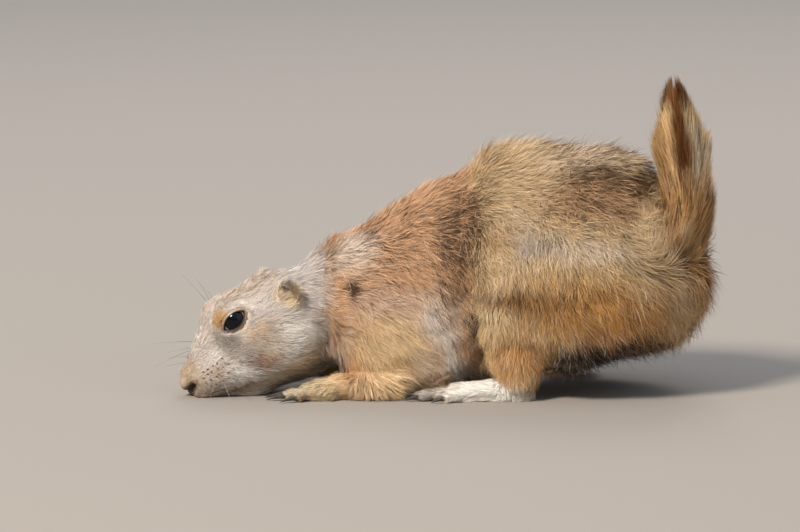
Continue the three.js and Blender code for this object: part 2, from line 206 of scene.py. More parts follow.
# Shader helpers: a Link is a node's output, and sums on it add Math nodes.
class Link:
    def __init__(self, shade, socket):
        self.shade = shade
        self.socket = socket

    def __add__(self, other):
        return self.shade.sum("ADD", self, other)

    def __sub__(self, other):
        return self.shade.sum("SUBTRACT", self, other)

    def __rsub__(self, other):
        return self.shade.sum("SUBTRACT", other, self)

    def __mul__(self, other):
        return self.shade.sum("MULTIPLY", self, other)

    def __lt__(self, other):
        return self.shade.sum("LESS_THAN", self, other)

    __radd__ = __add__
    __rmul__ = __mul__


class Shade:
    def __init__(self, title, kind="materials"):
        self.material = getattr(bpy.data, kind).new(title)
        self.material.use_nodes = True
        self.tree = self.material.node_tree
        self.tree.nodes.clear()

    def node(self, kind, settings=None, sockets=None, output=0):
        made = self.tree.nodes.new(kind)
        for key, value in (settings or {}).items():
            if key == "stops":
                ramp = made.color_ramp.elements
                while len(ramp) < len(value):
                    ramp.new(0.5)
                for stop, (spot, colour) in zip(ramp, value):
                    stop.position = spot
                    stop.color = (*colour, 1)
            else:
                setattr(made, key, value)
        for key, value in (sockets or {}).items():
            if isinstance(value, Link):
                self.tree.links.new(value.socket, made.inputs[key])
            elif value is not None:
                made.inputs[key].default_value = value
        return Link(self, made.outputs[output]) if len(made.outputs) else made

    def sum(self, operation, first, second=None):
        return self.node("ShaderNodeMath", {"operation": operation}, {0: first, 1: second})

    def parts(self, value):
        # the three numbers of a vector
        made = self.node("ShaderNodeSeparateXYZ", None, {0: value}).socket.node
        return [Link(self, output) for output in made.outputs]

    def joined(self, *three):
        return self.node("ShaderNodeCombineXYZ", None, dict(enumerate(three)))

    def mapped(self, value, location, rotation=(0, 0, 0), scale=(1, 1, 1)):
        # a point as seen from a place of its own
        sockets = {"Vector": value, "Location": location, "Rotation": rotation, "Scale": scale}
        return self.node("ShaderNodeMapping", {"vector_type": "TEXTURE"}, sockets)

    def objectPlace(self):
        return self.node("ShaderNodeTexCoord", output=3)

    def attribute(self, title, output="Vector"):
        return self.node("ShaderNodeAttribute", {"attribute_name": title}, output=output)

    def ramp(self, value, low, high, fromValue=0.0, toValue=1.0):
        return self.node(
            "ShaderNodeMapRange",
            {"interpolation_type": "SMOOTHSTEP"},
            {0: value, 1: low, 2: high, 3: fromValue, 4: toValue},
        )

    def mix(self, factor, under, over, way="MIX"):
        under = under if isinstance(under, Link) else (*under, 1)
        over = over if isinstance(over, Link) else (*over, 1)
        return self.node(
            "ShaderNodeMix",
            {"data_type": "RGBA", "blend_type": way},
            {0: factor, 6: under, 7: over},
            output=2,
        )

    def vector(self, operation, first, second=None, output=0):
        return self.node("ShaderNodeVectorMath", {"operation": operation}, {0: first, 1: second}, output)

    def noise(self, where, scale, detail=2.0, roughness=0.5, output=0):
        sockets = {"Vector": where, "Scale": scale, "Detail": detail, "Roughness": roughness}
        return self.node("ShaderNodeTexNoise", None, sockets, output)

    def surface(self, sockets, bump=None, strength=0.3, distance=0.3 * mm):
        sockets = dict(sockets)
        if bump is not None:
            relief = {"Strength": strength, "Distance": distance, "Height": bump}
            sockets["Normal"] = self.node("ShaderNodeBump", None, relief)
        shader = self.node("ShaderNodeBsdfPrincipled", None, sockets)
        self.node("ShaderNodeOutputMaterial", None, {0: shader})
        return self.material


def tone(*screen):
    # a colour picked on screen, as the linear value that a socket takes
    return tuple(((c / 255 + 0.055) / 1.055) ** 2.4 if c > 10 else c / 255 / 12.92 for c in screen)


def floorShade():
    shade = Shade("paleFloor")
    spot = shade.objectPlace()
    cloud = shade.noise(spot, 1.2, 3.0)
    far = shade.ramp(shade.parts(spot)[1] + cloud * 0.3, -0.6, 1.2)
    colour = shade.mix(far, tone(148, 138, 126), tone(160, 150, 139))
    return shade.surface({"Base Color": colour, "Roughness": 0.85, "Specular IOR Level": 0.2})


def skyShade(plan):
    shade = Shade("sky", "worlds")
    height = shade.parts(shade.node("ShaderNodeTexCoord"))[2]
    colour = shade.mix(shade.ramp(height, 0.1, 0.75), plan["skyAround"], plan["skyAbove"])
    light = shade.node("ShaderNodeBackground", None, {0: colour})
    shade.node("ShaderNodeOutputWorld", None, {0: light})
    return shade.material


floor.data.materials.append(floorShade())
bpy.context.scene.world = skyShade(stagePlan)

# Coat colours, and the marks at each place: colour, centre, size, how soft its edge is and how strong.
# A size is given along forward, left and up, in millimetres, and a mark off the middle is on both sides.
coatTones = {
    "rufous": tone(197, 152, 112),
    "cream": tone(232, 219, 200),
    "greyCream": tone(208, 194, 182),
    "grey": tone(160, 150, 140),
    "buff": tone(200, 166, 126),
    "sandy": tone(198, 166, 122),
    "straw": tone(230, 200, 150),
    "orange": tone(198, 138, 72),
    "golden": tone(188, 138, 74),
    "russet": tone(150, 96, 58),
    "umber": tone(70, 44, 25),
    # a near-black for painted shade in creases, slits and under the body
    "soot": tone(36, 26, 20),
    "white": tone(246, 241, 232),
    "tan": tone(172, 145, 112),
    "brown": tone(122, 72, 28),
    "hay": tone(188, 170, 136),
}
markings = listed({
    "head": [
        ("greyCream", (-4, 0, -14), (52, 40, 46), 0.25, 1.0),
        ("buff", (-12, 0, 8), (24, 18, 8), 0.9, 0.4),
        ("cream", (-16, 23, -20), (17, 12, 12), 0.9, 0.95),
        # the white on the cheek is painted light over its pale fur
        ("white", (-14, 22, -19), (13, 11, 10), 0.9, 0.9),
        ("cream", (16, 0, -3), (13, 8, 7), 0.8, 0.25),
        ("white", (15, 10, -9), (6, 6, 5), 0.9, 0.3),
        ("white", (9, 14, -23), (12, 8, 6), 0.9, 1.0),
        ("grey", (7, 14, -9), (6, 8, 6), 0.9, 0.8),
        ("grey", (3, 17, -15), (9, 8, 6), 0.9, 0.5),
        ("tan", (27, 0, -17), (7, 11, 11), 0.6, 1.0),
        ("buff", (19, 11, -18), (7, 7, 5), 0.9, 0.5),
        ("tan", (12, 10, -29), (12, 8, 3), 0.9, 0.6),
        ("orange", (5.0, 13, 4.0), (4.6, 6, 6), 0.9, 0.7),
        ("tan", (5.0, 13, 3.0), (5, 6, 7), 0.9, 0.8),
        ("golden", (5.5, 13, 4.5), (4.2, 6, 5), 0.9, 0.7),
        ("cream", (-9, 15, 4), (8, 6, 2.6), 0.8, 0.6),
        ("cream", (-18, 18, 0), (8, 6, 5), 0.9, 0.3),
        ("buff", (-6, 19, -8), (8, 7, 6), 0.9, 0.6),
        ("russet", (-1, 20, -19.5), (7, 7, 5), 0.9, 0.8),
        ("buff", (-8, 20, -17), (9, 7, 6), 0.9, 0.5),
        ("straw", (-27, 19, -1), (8, 8, 8), 0.9, 0.85),
        ("straw", (-16, 14, -30), (18, 12, 6), 0.9, 0.6),
        # painted shadow under the jaw, over the gap to the forearm
        ("umber", (-20, 12, -41), (26, 12, 7), 0.9, 0.6),
        ("tan", (20, 0, -31), (22, 10, 6), 0.9, 0.4),
    ],
    "trunk": [
        ("greyCream", (72, 0, 56), (14, 36, 32), 0.6, 0.95),
        ("grey", (68, 8, 62), (12, 22, 12), 0.9, 0.3),
        ("greyCream", (48, 18, 68), (14, 14, 10), 0.9, 0.5),
        ("cream", (47, 24, 62), (12, 12, 9), 0.9, 0.45),
        ("orange", (54, 29, 42), (5, 10, 24), 0.8, 0.65),
        ("greyCream", (30, 40, 46), (22, 12, 9), 0.9, 0.35),
        ("straw", (30, 42, 28), (26, 14, 16), 0.9, 0.75),
        ("cream", (8, 40, 44), (16, 12, 14), 0.9, 0.5),
        ("white", (11, 40, 40), (7, 12, 9), 0.9, 0.6),
        ("white", (4, 37, 26), (7, 12, 14), 0.9, 0.9),
        ("white", (-1, 30, 16), (6, 12, 10), 0.9, 0.8),
        ("cream", (18, 42, 18), (12, 12, 10), 0.9, 0.45),
        ("cream", (10, 0, 8), (60, 34, 14), 0.6, 0.8),
        ("golden", (26, 44, 20), (9, 10, 8), 0.9, 0.7),
        ("straw", (26, 42, 8), (22, 14, 8), 0.9, 0.7),
        ("orange", (44, 38, 17), (6, 10, 8), 0.9, 0.6),
        ("straw", (54, 42, 6), (12, 12, 9), 0.8, 0.85),
        # painted shade: a dark band down the waist where the hind coat overlaps, and under the belly
        ("soot", (-9, 39, 33), (7, 10, 20), 0.5, 1.0),
        ("soot", (-10, 18, 8), (12, 20, 12), 0.8, 0.85),
    ],
    "pelvis": [
        ("grey", (30, 44, 80), (16, 14, 10), 0.9, 0.25),
        ("golden", (34, 46, 76), (16, 14, 7), 0.9, 0.5),
        ("greyCream", (10, 8, 106), (26, 30, 10), 0.9, 0.28),
        ("grey", (16, 46, 75), (18, 14, 6), 0.9, 0.75),
        ("greyCream", (-12, 43, 73), (20, 12, 4), 0.9, 0.55),
        ("golden", (-6, 47, 50), (36, 16, 18), 0.9, 0.85),
        ("russet", (-7, 29, 91), (28, 26, 11), 0.5, 0.5),
        ("brown", (-7, 26, 100), (28, 24, 4), 0.9, 0.25),
        ("brown", (-13, 48, 56), (6, 8, 5), 0.9, 0.6),
        ("umber", (35, 54, 53), (9, 10, 4), 0.9, 0.6),
        ("brown", (18, 52, 52), (20, 12, 7), 0.9, 0.75),
        ("brown", (0, 50, 50), (13, 12, 12), 0.9, 0.3),
        ("straw", (34, 53, 43), (9, 10, 9), 0.9, 0.85),
        ("straw", (35, 51, 30), (8, 12, 14), 0.9, 0.6),
        ("orange", (20, 50, 24), (20, 20, 14), 0.9, 0.7),
        ("orange", (-26, 38, 44), (30, 26, 16), 0.9, 0.85),
        ("brown", (-20, 38, 36), (32, 26, 6), 0.9, 0.5),
        # painted shade under the haunch and belly, behind the hind leg
        ("umber", (-14, 30, 24), (32, 30, 12), 0.35, 0.95),
        ("umber", (0, 20, 14), (26, 22, 12), 0.5, 0.9),
        ("soot", (-15, 34, 26), (28, 26, 13), 0.7, 0.9),
        ("cream", (-46, 18, 58), (7, 8, 7.5), 0.9, 0.85),
        # painted shade in the slit under the tail
        ("soot", (-48, 10, 61), (2, 3, 2), 0.9, 0.5),
        ("orange", (-38, 12, 74), (12, 15, 13), 0.9, 0.9),
        ("russet", (-42, 10, 68), (9, 12, 8), 0.9, 0.5),
        ("golden", (-50, 0, 50), (14, 20, 24), 0.9, 0.7),
        ("orange", (-48, 0, 64), (10, 14, 15), 0.9, 0.8),
        ("straw", (-38, 0, 108), (16, 18, 36), 0.6, 0.95),
        ("orange", (-38, 3, 92), (5, 6, 20), 0.9, 0.5),
        ("cream", (-45, 0, 98), (4, 12, 28), 0.9, 0.6),
    ],
    "hand": [
        ("hay", (13, 0, 4), (20, 14, 10), 0.7, 0.75),
    ],
    "foot": [
        ("cream", (22, 0, 2), (32, 16, 10), 0.4, 1.0),
        ("white", (22, 0, 2), (24, 16, 10), 0.8, 0.9),
        ("grey", (48, 0, 2), (9, 16, 8), 0.9, 0.9),
    ],
})
# Dark-tipped hairs among the others: centre, size, softness and share of the hairs
flecks = listed({
    "trunk": [
        ((0, 32, 76), (18, 28, 27), 0.8, 0.78),
        ((4, 38, 52), (18, 20, 18), 0.9, 0.42),
        ((30, 20, 64), (32, 34, 30), 0.9, 0.32),
    ],
    "pelvis": [
        ((-8, 24, 99), (32, 24, 6), 0.7, 0.72),
        ((-9, 30, 89), (32, 24, 13), 0.6, 0.36),
        ((15, 38, 87), (8, 14, 8), 0.9, 0.5),
        ((16, 48, 52), (20, 12, 7), 0.9, 0.35),
        ((-8, 48, 58), (20, 12, 16), 0.9, 0.35),
        ((-40, 8, 72), (14, 14, 14), 0.9, 0.22),
        ((-38, 0, 108), (20, 20, 40), 0.7, 0.14),
    ],
    "head": [
        ((-20, 0, 4), (30, 26, 14), 0.8, 0.25),
        ((0, 14, -14), (24, 14, 18), 0.9, 0.24),
    ],
})
# One dark mark is on the left shoulder only.
scar = ("trunk", (49.5, 36, 49.8), (7, 12, 4.4), 0.6, 1.0)
markReach = 0.35  # how far a soft edge goes past a mark's size, as a share of its softness
wanderPlan = {"scale": 110.0, "detail": 4.0, "roughness": 0.65, "reach": 12 * mm, "margin": 4.0}
hindBorder = {"slant": (1, 0, 0.12), "from": 15.0 * mm, "to": 21.5 * mm}


def ownPlaces(shade, spot):
    # the point in each place's forward, left and up, with left made positive
    found = {}
    for title, place in places.items():
        own = shade.mapped(spot, place.to_translation(), place.to_euler(), (-mm, -mm, mm))
        forward, left, up = shade.parts(own)
        found[title] = shade.joined(forward, shade.sum("ABSOLUTE", left), up)
    return found


def patch(shade, spots, place, centre, size, softness):
    # 1 in the middle of an egg-shaped mark, 0 outside it
    near = shade.mapped(spots[place], (centre[0], abs(centre[1]), centre[2]), scale=size)
    inner, outer = 1 - 0.9 * softness, 1 + markReach * softness
    return shade.ramp(shade.vector("LENGTH", near, output=1), inner, outer, 1.0, 0.0)


def reaching(marks, spots):
    # the marks that come near any of these points, so that each shader holds no more than it needs
    found = []
    for mark in marks:
        place, (centre, size, softness) = mark[0], mark[-4:-1]
        turn = np.array(places[place].to_3x3())
        own = (spots - np.array(places[place].to_translation())) @ turn / mm * (-1, -1, 1)
        own[:, 1] = np.abs(own[:, 1])
        widest = np.array(size) * (1 + markReach * softness) + wanderPlan["margin"]
        away = (own - np.array(centre)) / widest
        if ((away**2).sum(1) < 1).any():
            found.append(mark)
    return found


def coatPattern(shade, root, roots, least=0.0):
    # colour and share of dark tips for hair rooted at this point, from marks of at least this strength
    plan = wanderPlan
    cloud = shade.noise(root, plan["scale"], plan["detail"], plan["roughness"], output=1)
    wander = shade.vector("SUBTRACT", cloud, (0.5, 0.5, 0.5))
    moved = shade.vector("ADD", root, shade.vector("MULTIPLY", wander, (plan["reach"],) * 3))
    spots = ownPlaces(shade, moved)
    slant = shade.vector("DOT_PRODUCT", moved, hindBorder["slant"], output=1)
    hind = shade.ramp(slant, hindBorder["from"], hindBorder["to"])
    colour = shade.mix(hind, coatTones["rufous"], coatTones["sandy"])
    for place, title, centre, size, softness, strength in reaching(markings, roots):
        if strength >= least:
            mask = patch(shade, spots, place, centre, size, softness) * strength
            colour = shade.mix(mask, colour, coatTones[title])
    dark = 0.0
    for *mark, share in reaching(flecks, roots):
        dark = shade.sum("MAXIMUM", dark, patch(shade, spots, *mark) * share)
    for *mark, strength in reaching([scar], roots):
        leftSide = shade.parts(root)[1] < 0.0
        mask = patch(shade, spots, *mark) * strength * leftSide
        dark = shade.sum("MAXIMUM", dark, mask)
        colour = shade.mix(mask, colour, coatTones["umber"])
    return colour, dark


def coatShade(piece):
    shade = Shade(piece.name + "_hair")
    root = shade.attribute("rootPlace")
    share, own, clump = shade.parts(shade.attribute("tuftTone"))
    creaseShade, depth, streak = shade.parts(shade.attribute("coatState"))
    roots = numbers(piece.data.attributes["rootPlace"].data, "vector", 3)[::5]
    colour, dark = coatPattern(shade, root, roots)
    # the tail has a dark streak on each face and a dark tip
    brush = shade.mix(shade.ramp(streak, 0.5, 1.2), coatTones["brown"], coatTones["umber"])
    colour = shade.mix(shade.ramp(streak, 0.1, 0.7) * shade.ramp(share, 0.05, 0.4), colour, brush)
    # deep coat is darker at its roots, and short hair hardly: dark underfur with painted shade deep in the
    # coat
    under = shade.mix(depth * 0.5 + 0.22, colour, coatTones["umber"])
    colour = shade.mix(shade.ramp(share, 0.0, 0.65, 1.0, 0.0), colour, under)
    # whole locks are tipped dark or pale, with odd hairs among them
    lot = clump * 0.65 + own * 0.35
    tipped = shade.ramp(share, 0.4, 0.62) * shade.ramp(lot - dark, -0.05, 0.02, 1.0, 0.0)
    colour = shade.mix(tipped * 0.94, colour, coatTones["umber"])
    paleTip = shade.ramp(share, 0.35, 0.9) * shade.ramp(lot - dark * 0.5, 0.6, 0.8)
    colour = shade.mix(paleTip * 0.5, colour, coatTones["cream"])
    odd = shade.sum("FRACT", own * 37.0)
    even = shade.sum("FRACT", clump * 53.0)
    light = (even * 0.5 + 0.75) * (odd * 0.4 + 0.82)
    colour = shade.vector("MULTIPLY", colour, shade.joined(light, light, light))
    # painted shade: the coat is darkened where the skin folds
    colour = shade.mix(creaseShade * 0.9, colour, coatTones["soot"])
    return shade.surface({"Base Color": colour, "Roughness": 0.6, "Specular IOR Level": 0.2})


# Skin: the flesh nodes made one closed surface, drawn in by the depth of the coat
skinPlan = {
    "voxel": 0.75 * mm,
    "swell": 0.3 * mm,
    "calm": 26,
    "triangles": 150000,
    "tailRadii": (4.6, 4.6, 4.2, 3.4, 1.4),
    "tailBone": ((-26, 0, 52), (-38, 0, 70), (-40.5, 0, 92), (-35.5, 0, 122), (-33.5, 0, 136)),
    "eyeFill": 5.75 * mm,
    "barest": 0.6,  # coat height in millimetres up to which the skin is hardly smoothed
    "calmOver": 2.4,
    "sink": 0.9,  # share of the coat's height that the skin lies under the solids
    "deep": 6 * mm,  # height of coat that the shaders take as deep
}
# The skin round an eye is levelled: across and up of its ring, its level, and the ball inside it
eyeBed = {
    "ring": (8.0, 5.5),
    "over": (0.6, 1.4),
    "level": 5.0,
    "rise": 1.2,
    "inside": 0.86,
    "ball": (7.4, 6.2, 6.2, 0.6),
}
pairs = ["ear", "upper_arm", "forearm", "fore_paw", "thigh", "shank", "hind_foot"]
fleshNodes = ["head", "nose", "neck", "chest", "loin", "rump"]
fleshNodes += [f"{title}_{side}" for title in pairs for side in sides]
eyeSpots = {side: at("head", -1.5, 10.8 * sign, 0) for side, sign in sides.items()}


def eyeTurn(sign):
    # across, up and out of an eye, as the columns of a turn
    out = along("head", 0.22, sign, 0.12)
    up = out.cross(along("head", -0.96 * sign, 0, 0.26 * sign)).normalized()
    return Matrix((up.cross(out), up, out)).transposed()


eyeTurns = {side: eyeTurn(sign) for side, sign in sides.items()}
# Length and height of the coat, and the way it lies: place, point, direction, length, height.
# What is off the middle is on both sides.
coatLie = listed({
    "head": [
        ((31, 0, -13), (-1, 0, 0.3), 1.4, 0.15),
        ((32, 4, -20), (-1, 0.4, 0), 1.2, 0.1),
        ((24, 7, -17), (-0.9, 0.25, 0.1), 2.4, 0.45),
        ((20, 0, -7), (-1, 0, 0), 3.2, 0.7),
        ((14, 12, -19), (-0.95, 0.1, -0.2), 4.4, 0.9),
        ((12, 8, -6), (-0.95, 0.1, -0.1), 3.6, 0.8),
        ((4, 0, 7), (-1, 0, 0), 4.5, 1.1),
        ((5.5, 14, 0), (-0.8, 0.1, -0.5), 2.4, 0.4),
        ((-1.5, 16, -7), (-0.85, 0, -0.45), 2.6, 0.4),
        ((-2, 13.5, 7.5), (-0.95, 0.2, 0), 2.6, 0.4),
        ((-9, 15, 1), (-1, 0, -0.1), 3.0, 0.5),
        ((6, 15, -14), (-0.9, 0, -0.35), 5.0, 1.2),
        ((-4, 20, -20), (-0.85, 0, -0.5), 6.5, 1.6),
        ((-18, 21, -16), (-0.85, 0, -0.5), 8.5, 2.2),
        ((-14, 18, -32), (-0.8, -0.1, -0.5), 10.5, 2.8),
        ((-22, 13, -38), (-0.8, -0.1, -0.4), 11.0, 3.0),
        ((9, 9, -31), (-0.95, 0, -0.2), 4.0, 0.8),
        ((22, 0, -28), (-1, 0, -0.1), 2.5, 0.4),
        ((0, 0, -38), (-1, 0, -0.1), 6.0, 1.6),
        ((-20, 0, -42), (-1, 0, -0.2), 8.0, 2.4),
        ((-15, 0, 9), (-1, 0, 0), 5.5, 1.2),
        ((-32, 0, 6), (-1, 0, 0), 7.0, 1.7),
        ((-22, 15, 5), (-0.9, 0.1, 0.1), 6.0, 1.5),
        ((-27.5, 20, -1), (-0.5, 0.8, 0.3), 4.4, 1.1),
        ((-35, 18, -7), (-0.9, 0, -0.4), 6.0, 2.0),
        ((-40, 20, -20), (-0.75, 0, -0.65), 9.0, 2.8),
    ],
    "trunk": [
        ((60, 0, 64), (-1, 0, 0.3), 8.0, 2.8),
        ((58, 28, 48), (-0.8, 0, -0.5), 9.0, 3.0),
        ((52, 24, 22), (-0.5, 0, -0.8), 9.0, 2.6),
        ((40, 0, 76), (-1, 0, 0.3), 9.0, 3.4),
        ((44, 30, 58), (-0.85, 0, -0.45), 9.5, 3.4),
        ((36, 40, 38), (-0.8, 0, -0.6), 10.0, 3.5),
        ((32, 42, 20), (-0.65, 0, -0.7), 11.0, 3.6),
        ((22, 42, 10), (-0.75, 0, -0.6), 12.0, 3.4),
        ((12, 38, 12), (-0.85, 0, -0.5), 13.0, 3.6),
        ((34, 46, 15), (-0.5, 0, -0.85), 13.0, 3.0),
        ((44, 42, 14), (-0.3, 0, -0.9), 8.0, 2.2),
        ((50, 42, 8), (0.9, 0, -0.2), 5.5, 1.3),
        ((14, 20, 84), (-0.9, 0, -0.1), 10.0, 3.6),
        ((4, 36, 62), (-0.75, 0, -0.65), 10.0, 3.6),
        ((5, 38, 42), (-0.6, 0, -0.8), 11.5, 3.4),
        ((2, 35, 24), (-0.45, 0, -0.9), 12.5, 3.4),
        ((-11, 37, 29), (-0.2, 0, -0.95), 6.0, 1.6),
        ((-5, 24, 12), (-0.4, 0, -0.9), 14.0, 4.0),
        ((10, 0, 8), (-1, 0, 0), 7.0, 2.6),
        ((-30, 0, 20), (-1, 0, 0), 8.0, 3.0),
        ((5, 0, 93), (-1, 0, 0.2), 10.0, 3.8),
        ((-14, 0, 103), (-1, 0, 0.15), 12.0, 5.0),
        ((-12, 24, 94), (-0.9, 0, -0.4), 12.0, 5.0),
        ((-14, 40, 70), (-0.65, 0, -0.75), 12.0, 5.0),
        ((-31, 22, 105), (-0.95, 0, -0.1), 12.0, 5.4),
        ((-40, 42, 86), (-0.7, 0, -0.7), 12.0, 5.4),
    ],
    "pelvis": [
        ((6, 0, 107), (-1, 0, 0), 12.0, 5.4),
        ((-14, 0, 97), (-0.9, 0, 0.1), 12.0, 5.4),
        ((-30, 8, 88), (-0.8, 0, -0.3), 9.0, 3.4),
        ((-10, 30, 88), (-0.75, 0, -0.65), 12.0, 5.4),
        ((12, 48, 70), (-0.45, 0.1, -0.9), 13.0, 5.4),
        ((-5, 51, 50), (-0.4, 0, -0.9), 13.0, 5.4),
        ((30, 53, 48), (-0.2, 0.1, -0.95), 11.0, 4.5),
        ((34, 50, 34), (-0.1, 0, -1), 10.0, 3.8),
        ((33, 50, 27), (0.15, 0.05, -0.95), 11.0, 4.4),
        ((29, 47, 17), (0.1, 0.05, -0.95), 9.0, 3.6),
        ((20, 50, 24), (-0.1, 0, -1), 10.0, 3.2),
        ((13, 46, 18), (-0.2, 0, -1), 9.0, 3.4),
        ((23, 44, 9), (0, 0, -1), 6.0, 1.8),
        ((-20, 40, 34), (-0.55, 0, -0.8), 15.0, 6.0),
        ((-32, 32, 42), (-0.6, 0, -0.75), 15.0, 6.0),
        ((-21, 28, 24), (-0.5, 0, -0.8), 16.0, 6.0),
        ((-47, 12, 56), (-0.8, 0.2, -0.5), 14.0, 6.2),
        ((-49, 0, 45), (-0.7, 0, -0.7), 14.0, 6.0),
        ((-40, 0, 30), (-0.5, 0, -0.8), 14.0, 6.0),
        ((-34, 14, 72), (-0.4, 0.2, 0.8), 13.0, 5.0),
        ((-28, 0, 76), (-0.4, 0, 0.8), 13.0, 5.0),
        ((-47, 0, 68), (-0.5, 0, 0.6), 13.0, 6.0),
        ((-10, 20, 22), (-0.8, 0, -0.5), 12.0, 5.0),
        ((0, 0, 22), (-1, 0, -0.2), 10.0, 4.0),
    ],
    "hand": [
        ((-4, 0, 7), (1, 0, -0.2), 5.0, 1.2),
        ((8, 0, 6), (1, 0, -0.1), 3.8, 0.6),
        ((18, 0, 3), (1, 0, -0.2), 2.2, 0.3),
    ],
    "foot": [
        ((4, 0, 8), (1, 0, -0.2), 6.0, 1.6),
        ((22, 0, 6), (1, 0, -0.1), 4.5, 0.7),
        ((36, 0, 5), (1, 0, -0.1), 3.6, 0.5),
        ((49, 0, 3), (1, 0, -0.2), 2.2, 0.3),
    ],
})


def lieAt(spots):
    # direction, length and height of the coat at each of many points, from the guides near it
    guides = []
    for place, (forward, left, up), (ahead, aside, rise), length, height in coatLie:
        for sign in (1, -1) if left else (1,):
            spot = at(place, forward, left * sign, up)
            guides.append((*spot, *along(place, ahead, aside * sign, rise), length * mm, height * mm))
    guides = np.array(guides)
    found = np.empty((len(spots), 5))
    some = 20000  # points at a time
    for start in range(0, len(spots), some):
        part = spots[start : start + some]
        gap = ((part[:, None] - guides[None, :, :3]) ** 2).sum(2)
        weight = 1 / (gap + (6 * mm) ** 2) ** 3
        weight /= weight.sum(1, keepdims=True)
        found[start : start + some] = weight @ guides[:, 3:]
    return found


def pathGap(spots, path):
    # how far each point is from a line through several points
    best = np.full(len(spots), 1e9)
    for start, end in zip(path[:-1], path[1:]):
        run = np.array(end - start)
        share = np.clip(((spots - np.array(start)) @ run) / (run @ run), 0, 1)
        best = np.minimum(best, np.linalg.norm(spots - np.array(start) - share[:, None] * run, axis=1))
    return best


def makeSkin(plan):
    dropSelection()
    for title in fleshNodes:
        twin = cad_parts[title].copy()
        twin.data = twin.data.copy()
        twin.data.materials.clear()
        twin.parent = None
        for key in list(twin.keys()):
            del twin[key]
        bpy.context.scene.collection.objects.link(twin)
        twin.select_set(True)
        bpy.context.view_layer.objects.active = twin
    bpy.ops.object.join()
    skin = bpy.context.object
    skin.name = "skin"
    editAll(skin)
    bpy.ops.mesh.remove_doubles(threshold=0.00001)
    bpy.ops.transform.shrink_fatten(value=plan["swell"])
    bpy.ops.mesh.select_all(action="DESELECT")
    for side in sides:
        bpy.ops.mesh.primitive_uv_sphere_add(
            segments=32, ring_count=24, radius=plan["eyeFill"], location=eyeSpots[side]
        )
    bpy.ops.object.mode_set(mode="OBJECT")
    # the tail under its brush
    line = bpy.data.curves.new("tailLine", "CURVE")
    line.dimensions = "3D"
    line.bevel_depth = mm
    line.bevel_resolution = 3
    line.use_fill_caps = True
    spline = line.splines.new("NURBS")
    spline.points.add(len(plan["tailBone"]) - 1)
    spline.use_endpoint_u = True
    spline.order_u = 3
    for point, spot, radius in zip(spline.points, plan["tailBone"], plan["tailRadii"]):
        point.co = (*at("pelvis", *spot), 1)
        point.radius = radius
    core = addPiece("tailCore", line)
    pickOnly(core)
    bpy.ops.object.convert(target="MESH")
    core.select_set(True)
    skin.select_set(True)
    bpy.context.view_layer.objects.active = skin
    bpy.ops.object.join()
    applyModifier(skin, "REMESH", mode="VOXEL", voxel_size=plan["voxel"])
    print("skin joined", len(skin.data.vertices))
    # the body is smoothed more than the face and paws
    spots = numbers(skin.data.vertices, "co", 3)
    calm = np.clip((lieAt(spots)[:, 4] / mm - plan["barest"]) / plan["calmOver"], 0.04, 1)
    group = skin.vertex_groups.new(name="calm")
    for level in range(1, 11):
        members = np.nonzero(np.ceil(calm * 10) == level)[0]
        if len(members):
            group.add(members.tolist(), level / 10, "REPLACE")
    applyModifier(skin, "SMOOTH", factor=0.5, iterations=plan["calm"], vertex_group="calm")
    share = plan["triangles"] / (2 * len(skin.data.polygons))
    applyModifier(skin, "DECIMATE", ratio=min(1, share), use_collapse_triangulate=True)
    skin.vertex_groups.clear()
    return skin


def eyeLevel(own):
    # how high the skin may stand near an eye, and which points are in its reach
    ring = np.hypot(own[:, 0] / eyeBed["ring"][0], own[:, 1] / eyeBed["ring"][1])
    low, high = eyeBed["over"]
    share = np.clip((ring - low) / (high - low), 0, 1)
    level = eyeBed["level"] + eyeBed["rise"] * share**2 * (3 - 2 * share)
    across, up, out, under = eyeBed["ball"]
    ball = out * np.sqrt(np.clip(1 - (own[:, 0] / across) ** 2 - (own[:, 1] / up) ** 2, 0.1, 1)) - under
    return np.where(ring < eyeBed["inside"], np.minimum(level, ball), level), ring < high


def drawIn(skin):
    # the skin lies under the coat by its height, and the mouth, nostrils and folds are pressed in
    mesh = skin.data
    spots = numbers(mesh.vertices, "co", 3).astype(float)
    normals = numbers(mesh.vertices, "normal", 3).astype(float)
    heights = lieAt(spots)[:, 4]
    sink = heights * skinPlan["sink"]
    sink[(spots[:, 2] < 1.2 * mm) & (normals[:, 2] < -0.5)] = 0
    # painted shade along the folds, kept for the shaders
    creaseShade = np.zeros(len(spots))
    for path, width, depth, dark in folds():
        near = np.exp(-((pathGap(spots, path) / width) ** 2))
        sink += near * depth
        creaseShade = np.maximum(creaseShade, np.minimum(near * dark, 1))
    spots -= normals * sink[:, None]
    for side in sides:
        turn, middle = np.array(eyeTurns[side]), np.array(eyeSpots[side])
        own = (spots - middle) @ turn / mm
        level, near = eyeLevel(own)
        low = (own[:, 2] > 0) & near & (own[:, 2] > level)
        own[low, 2] = level[low]
        spots[low] = (own[low] * mm) @ turn.T + middle
    spots[:, 2] = np.maximum(spots[:, 2], 0)
    mesh.vertices.foreach_set("co", spots.ravel())
    mesh.update()
    addField(mesh, "rootPlace", spots)
    state = np.column_stack([creaseShade, heights / skinPlan["deep"], np.zeros(len(spots))])
    addField(mesh, "coatState", state)


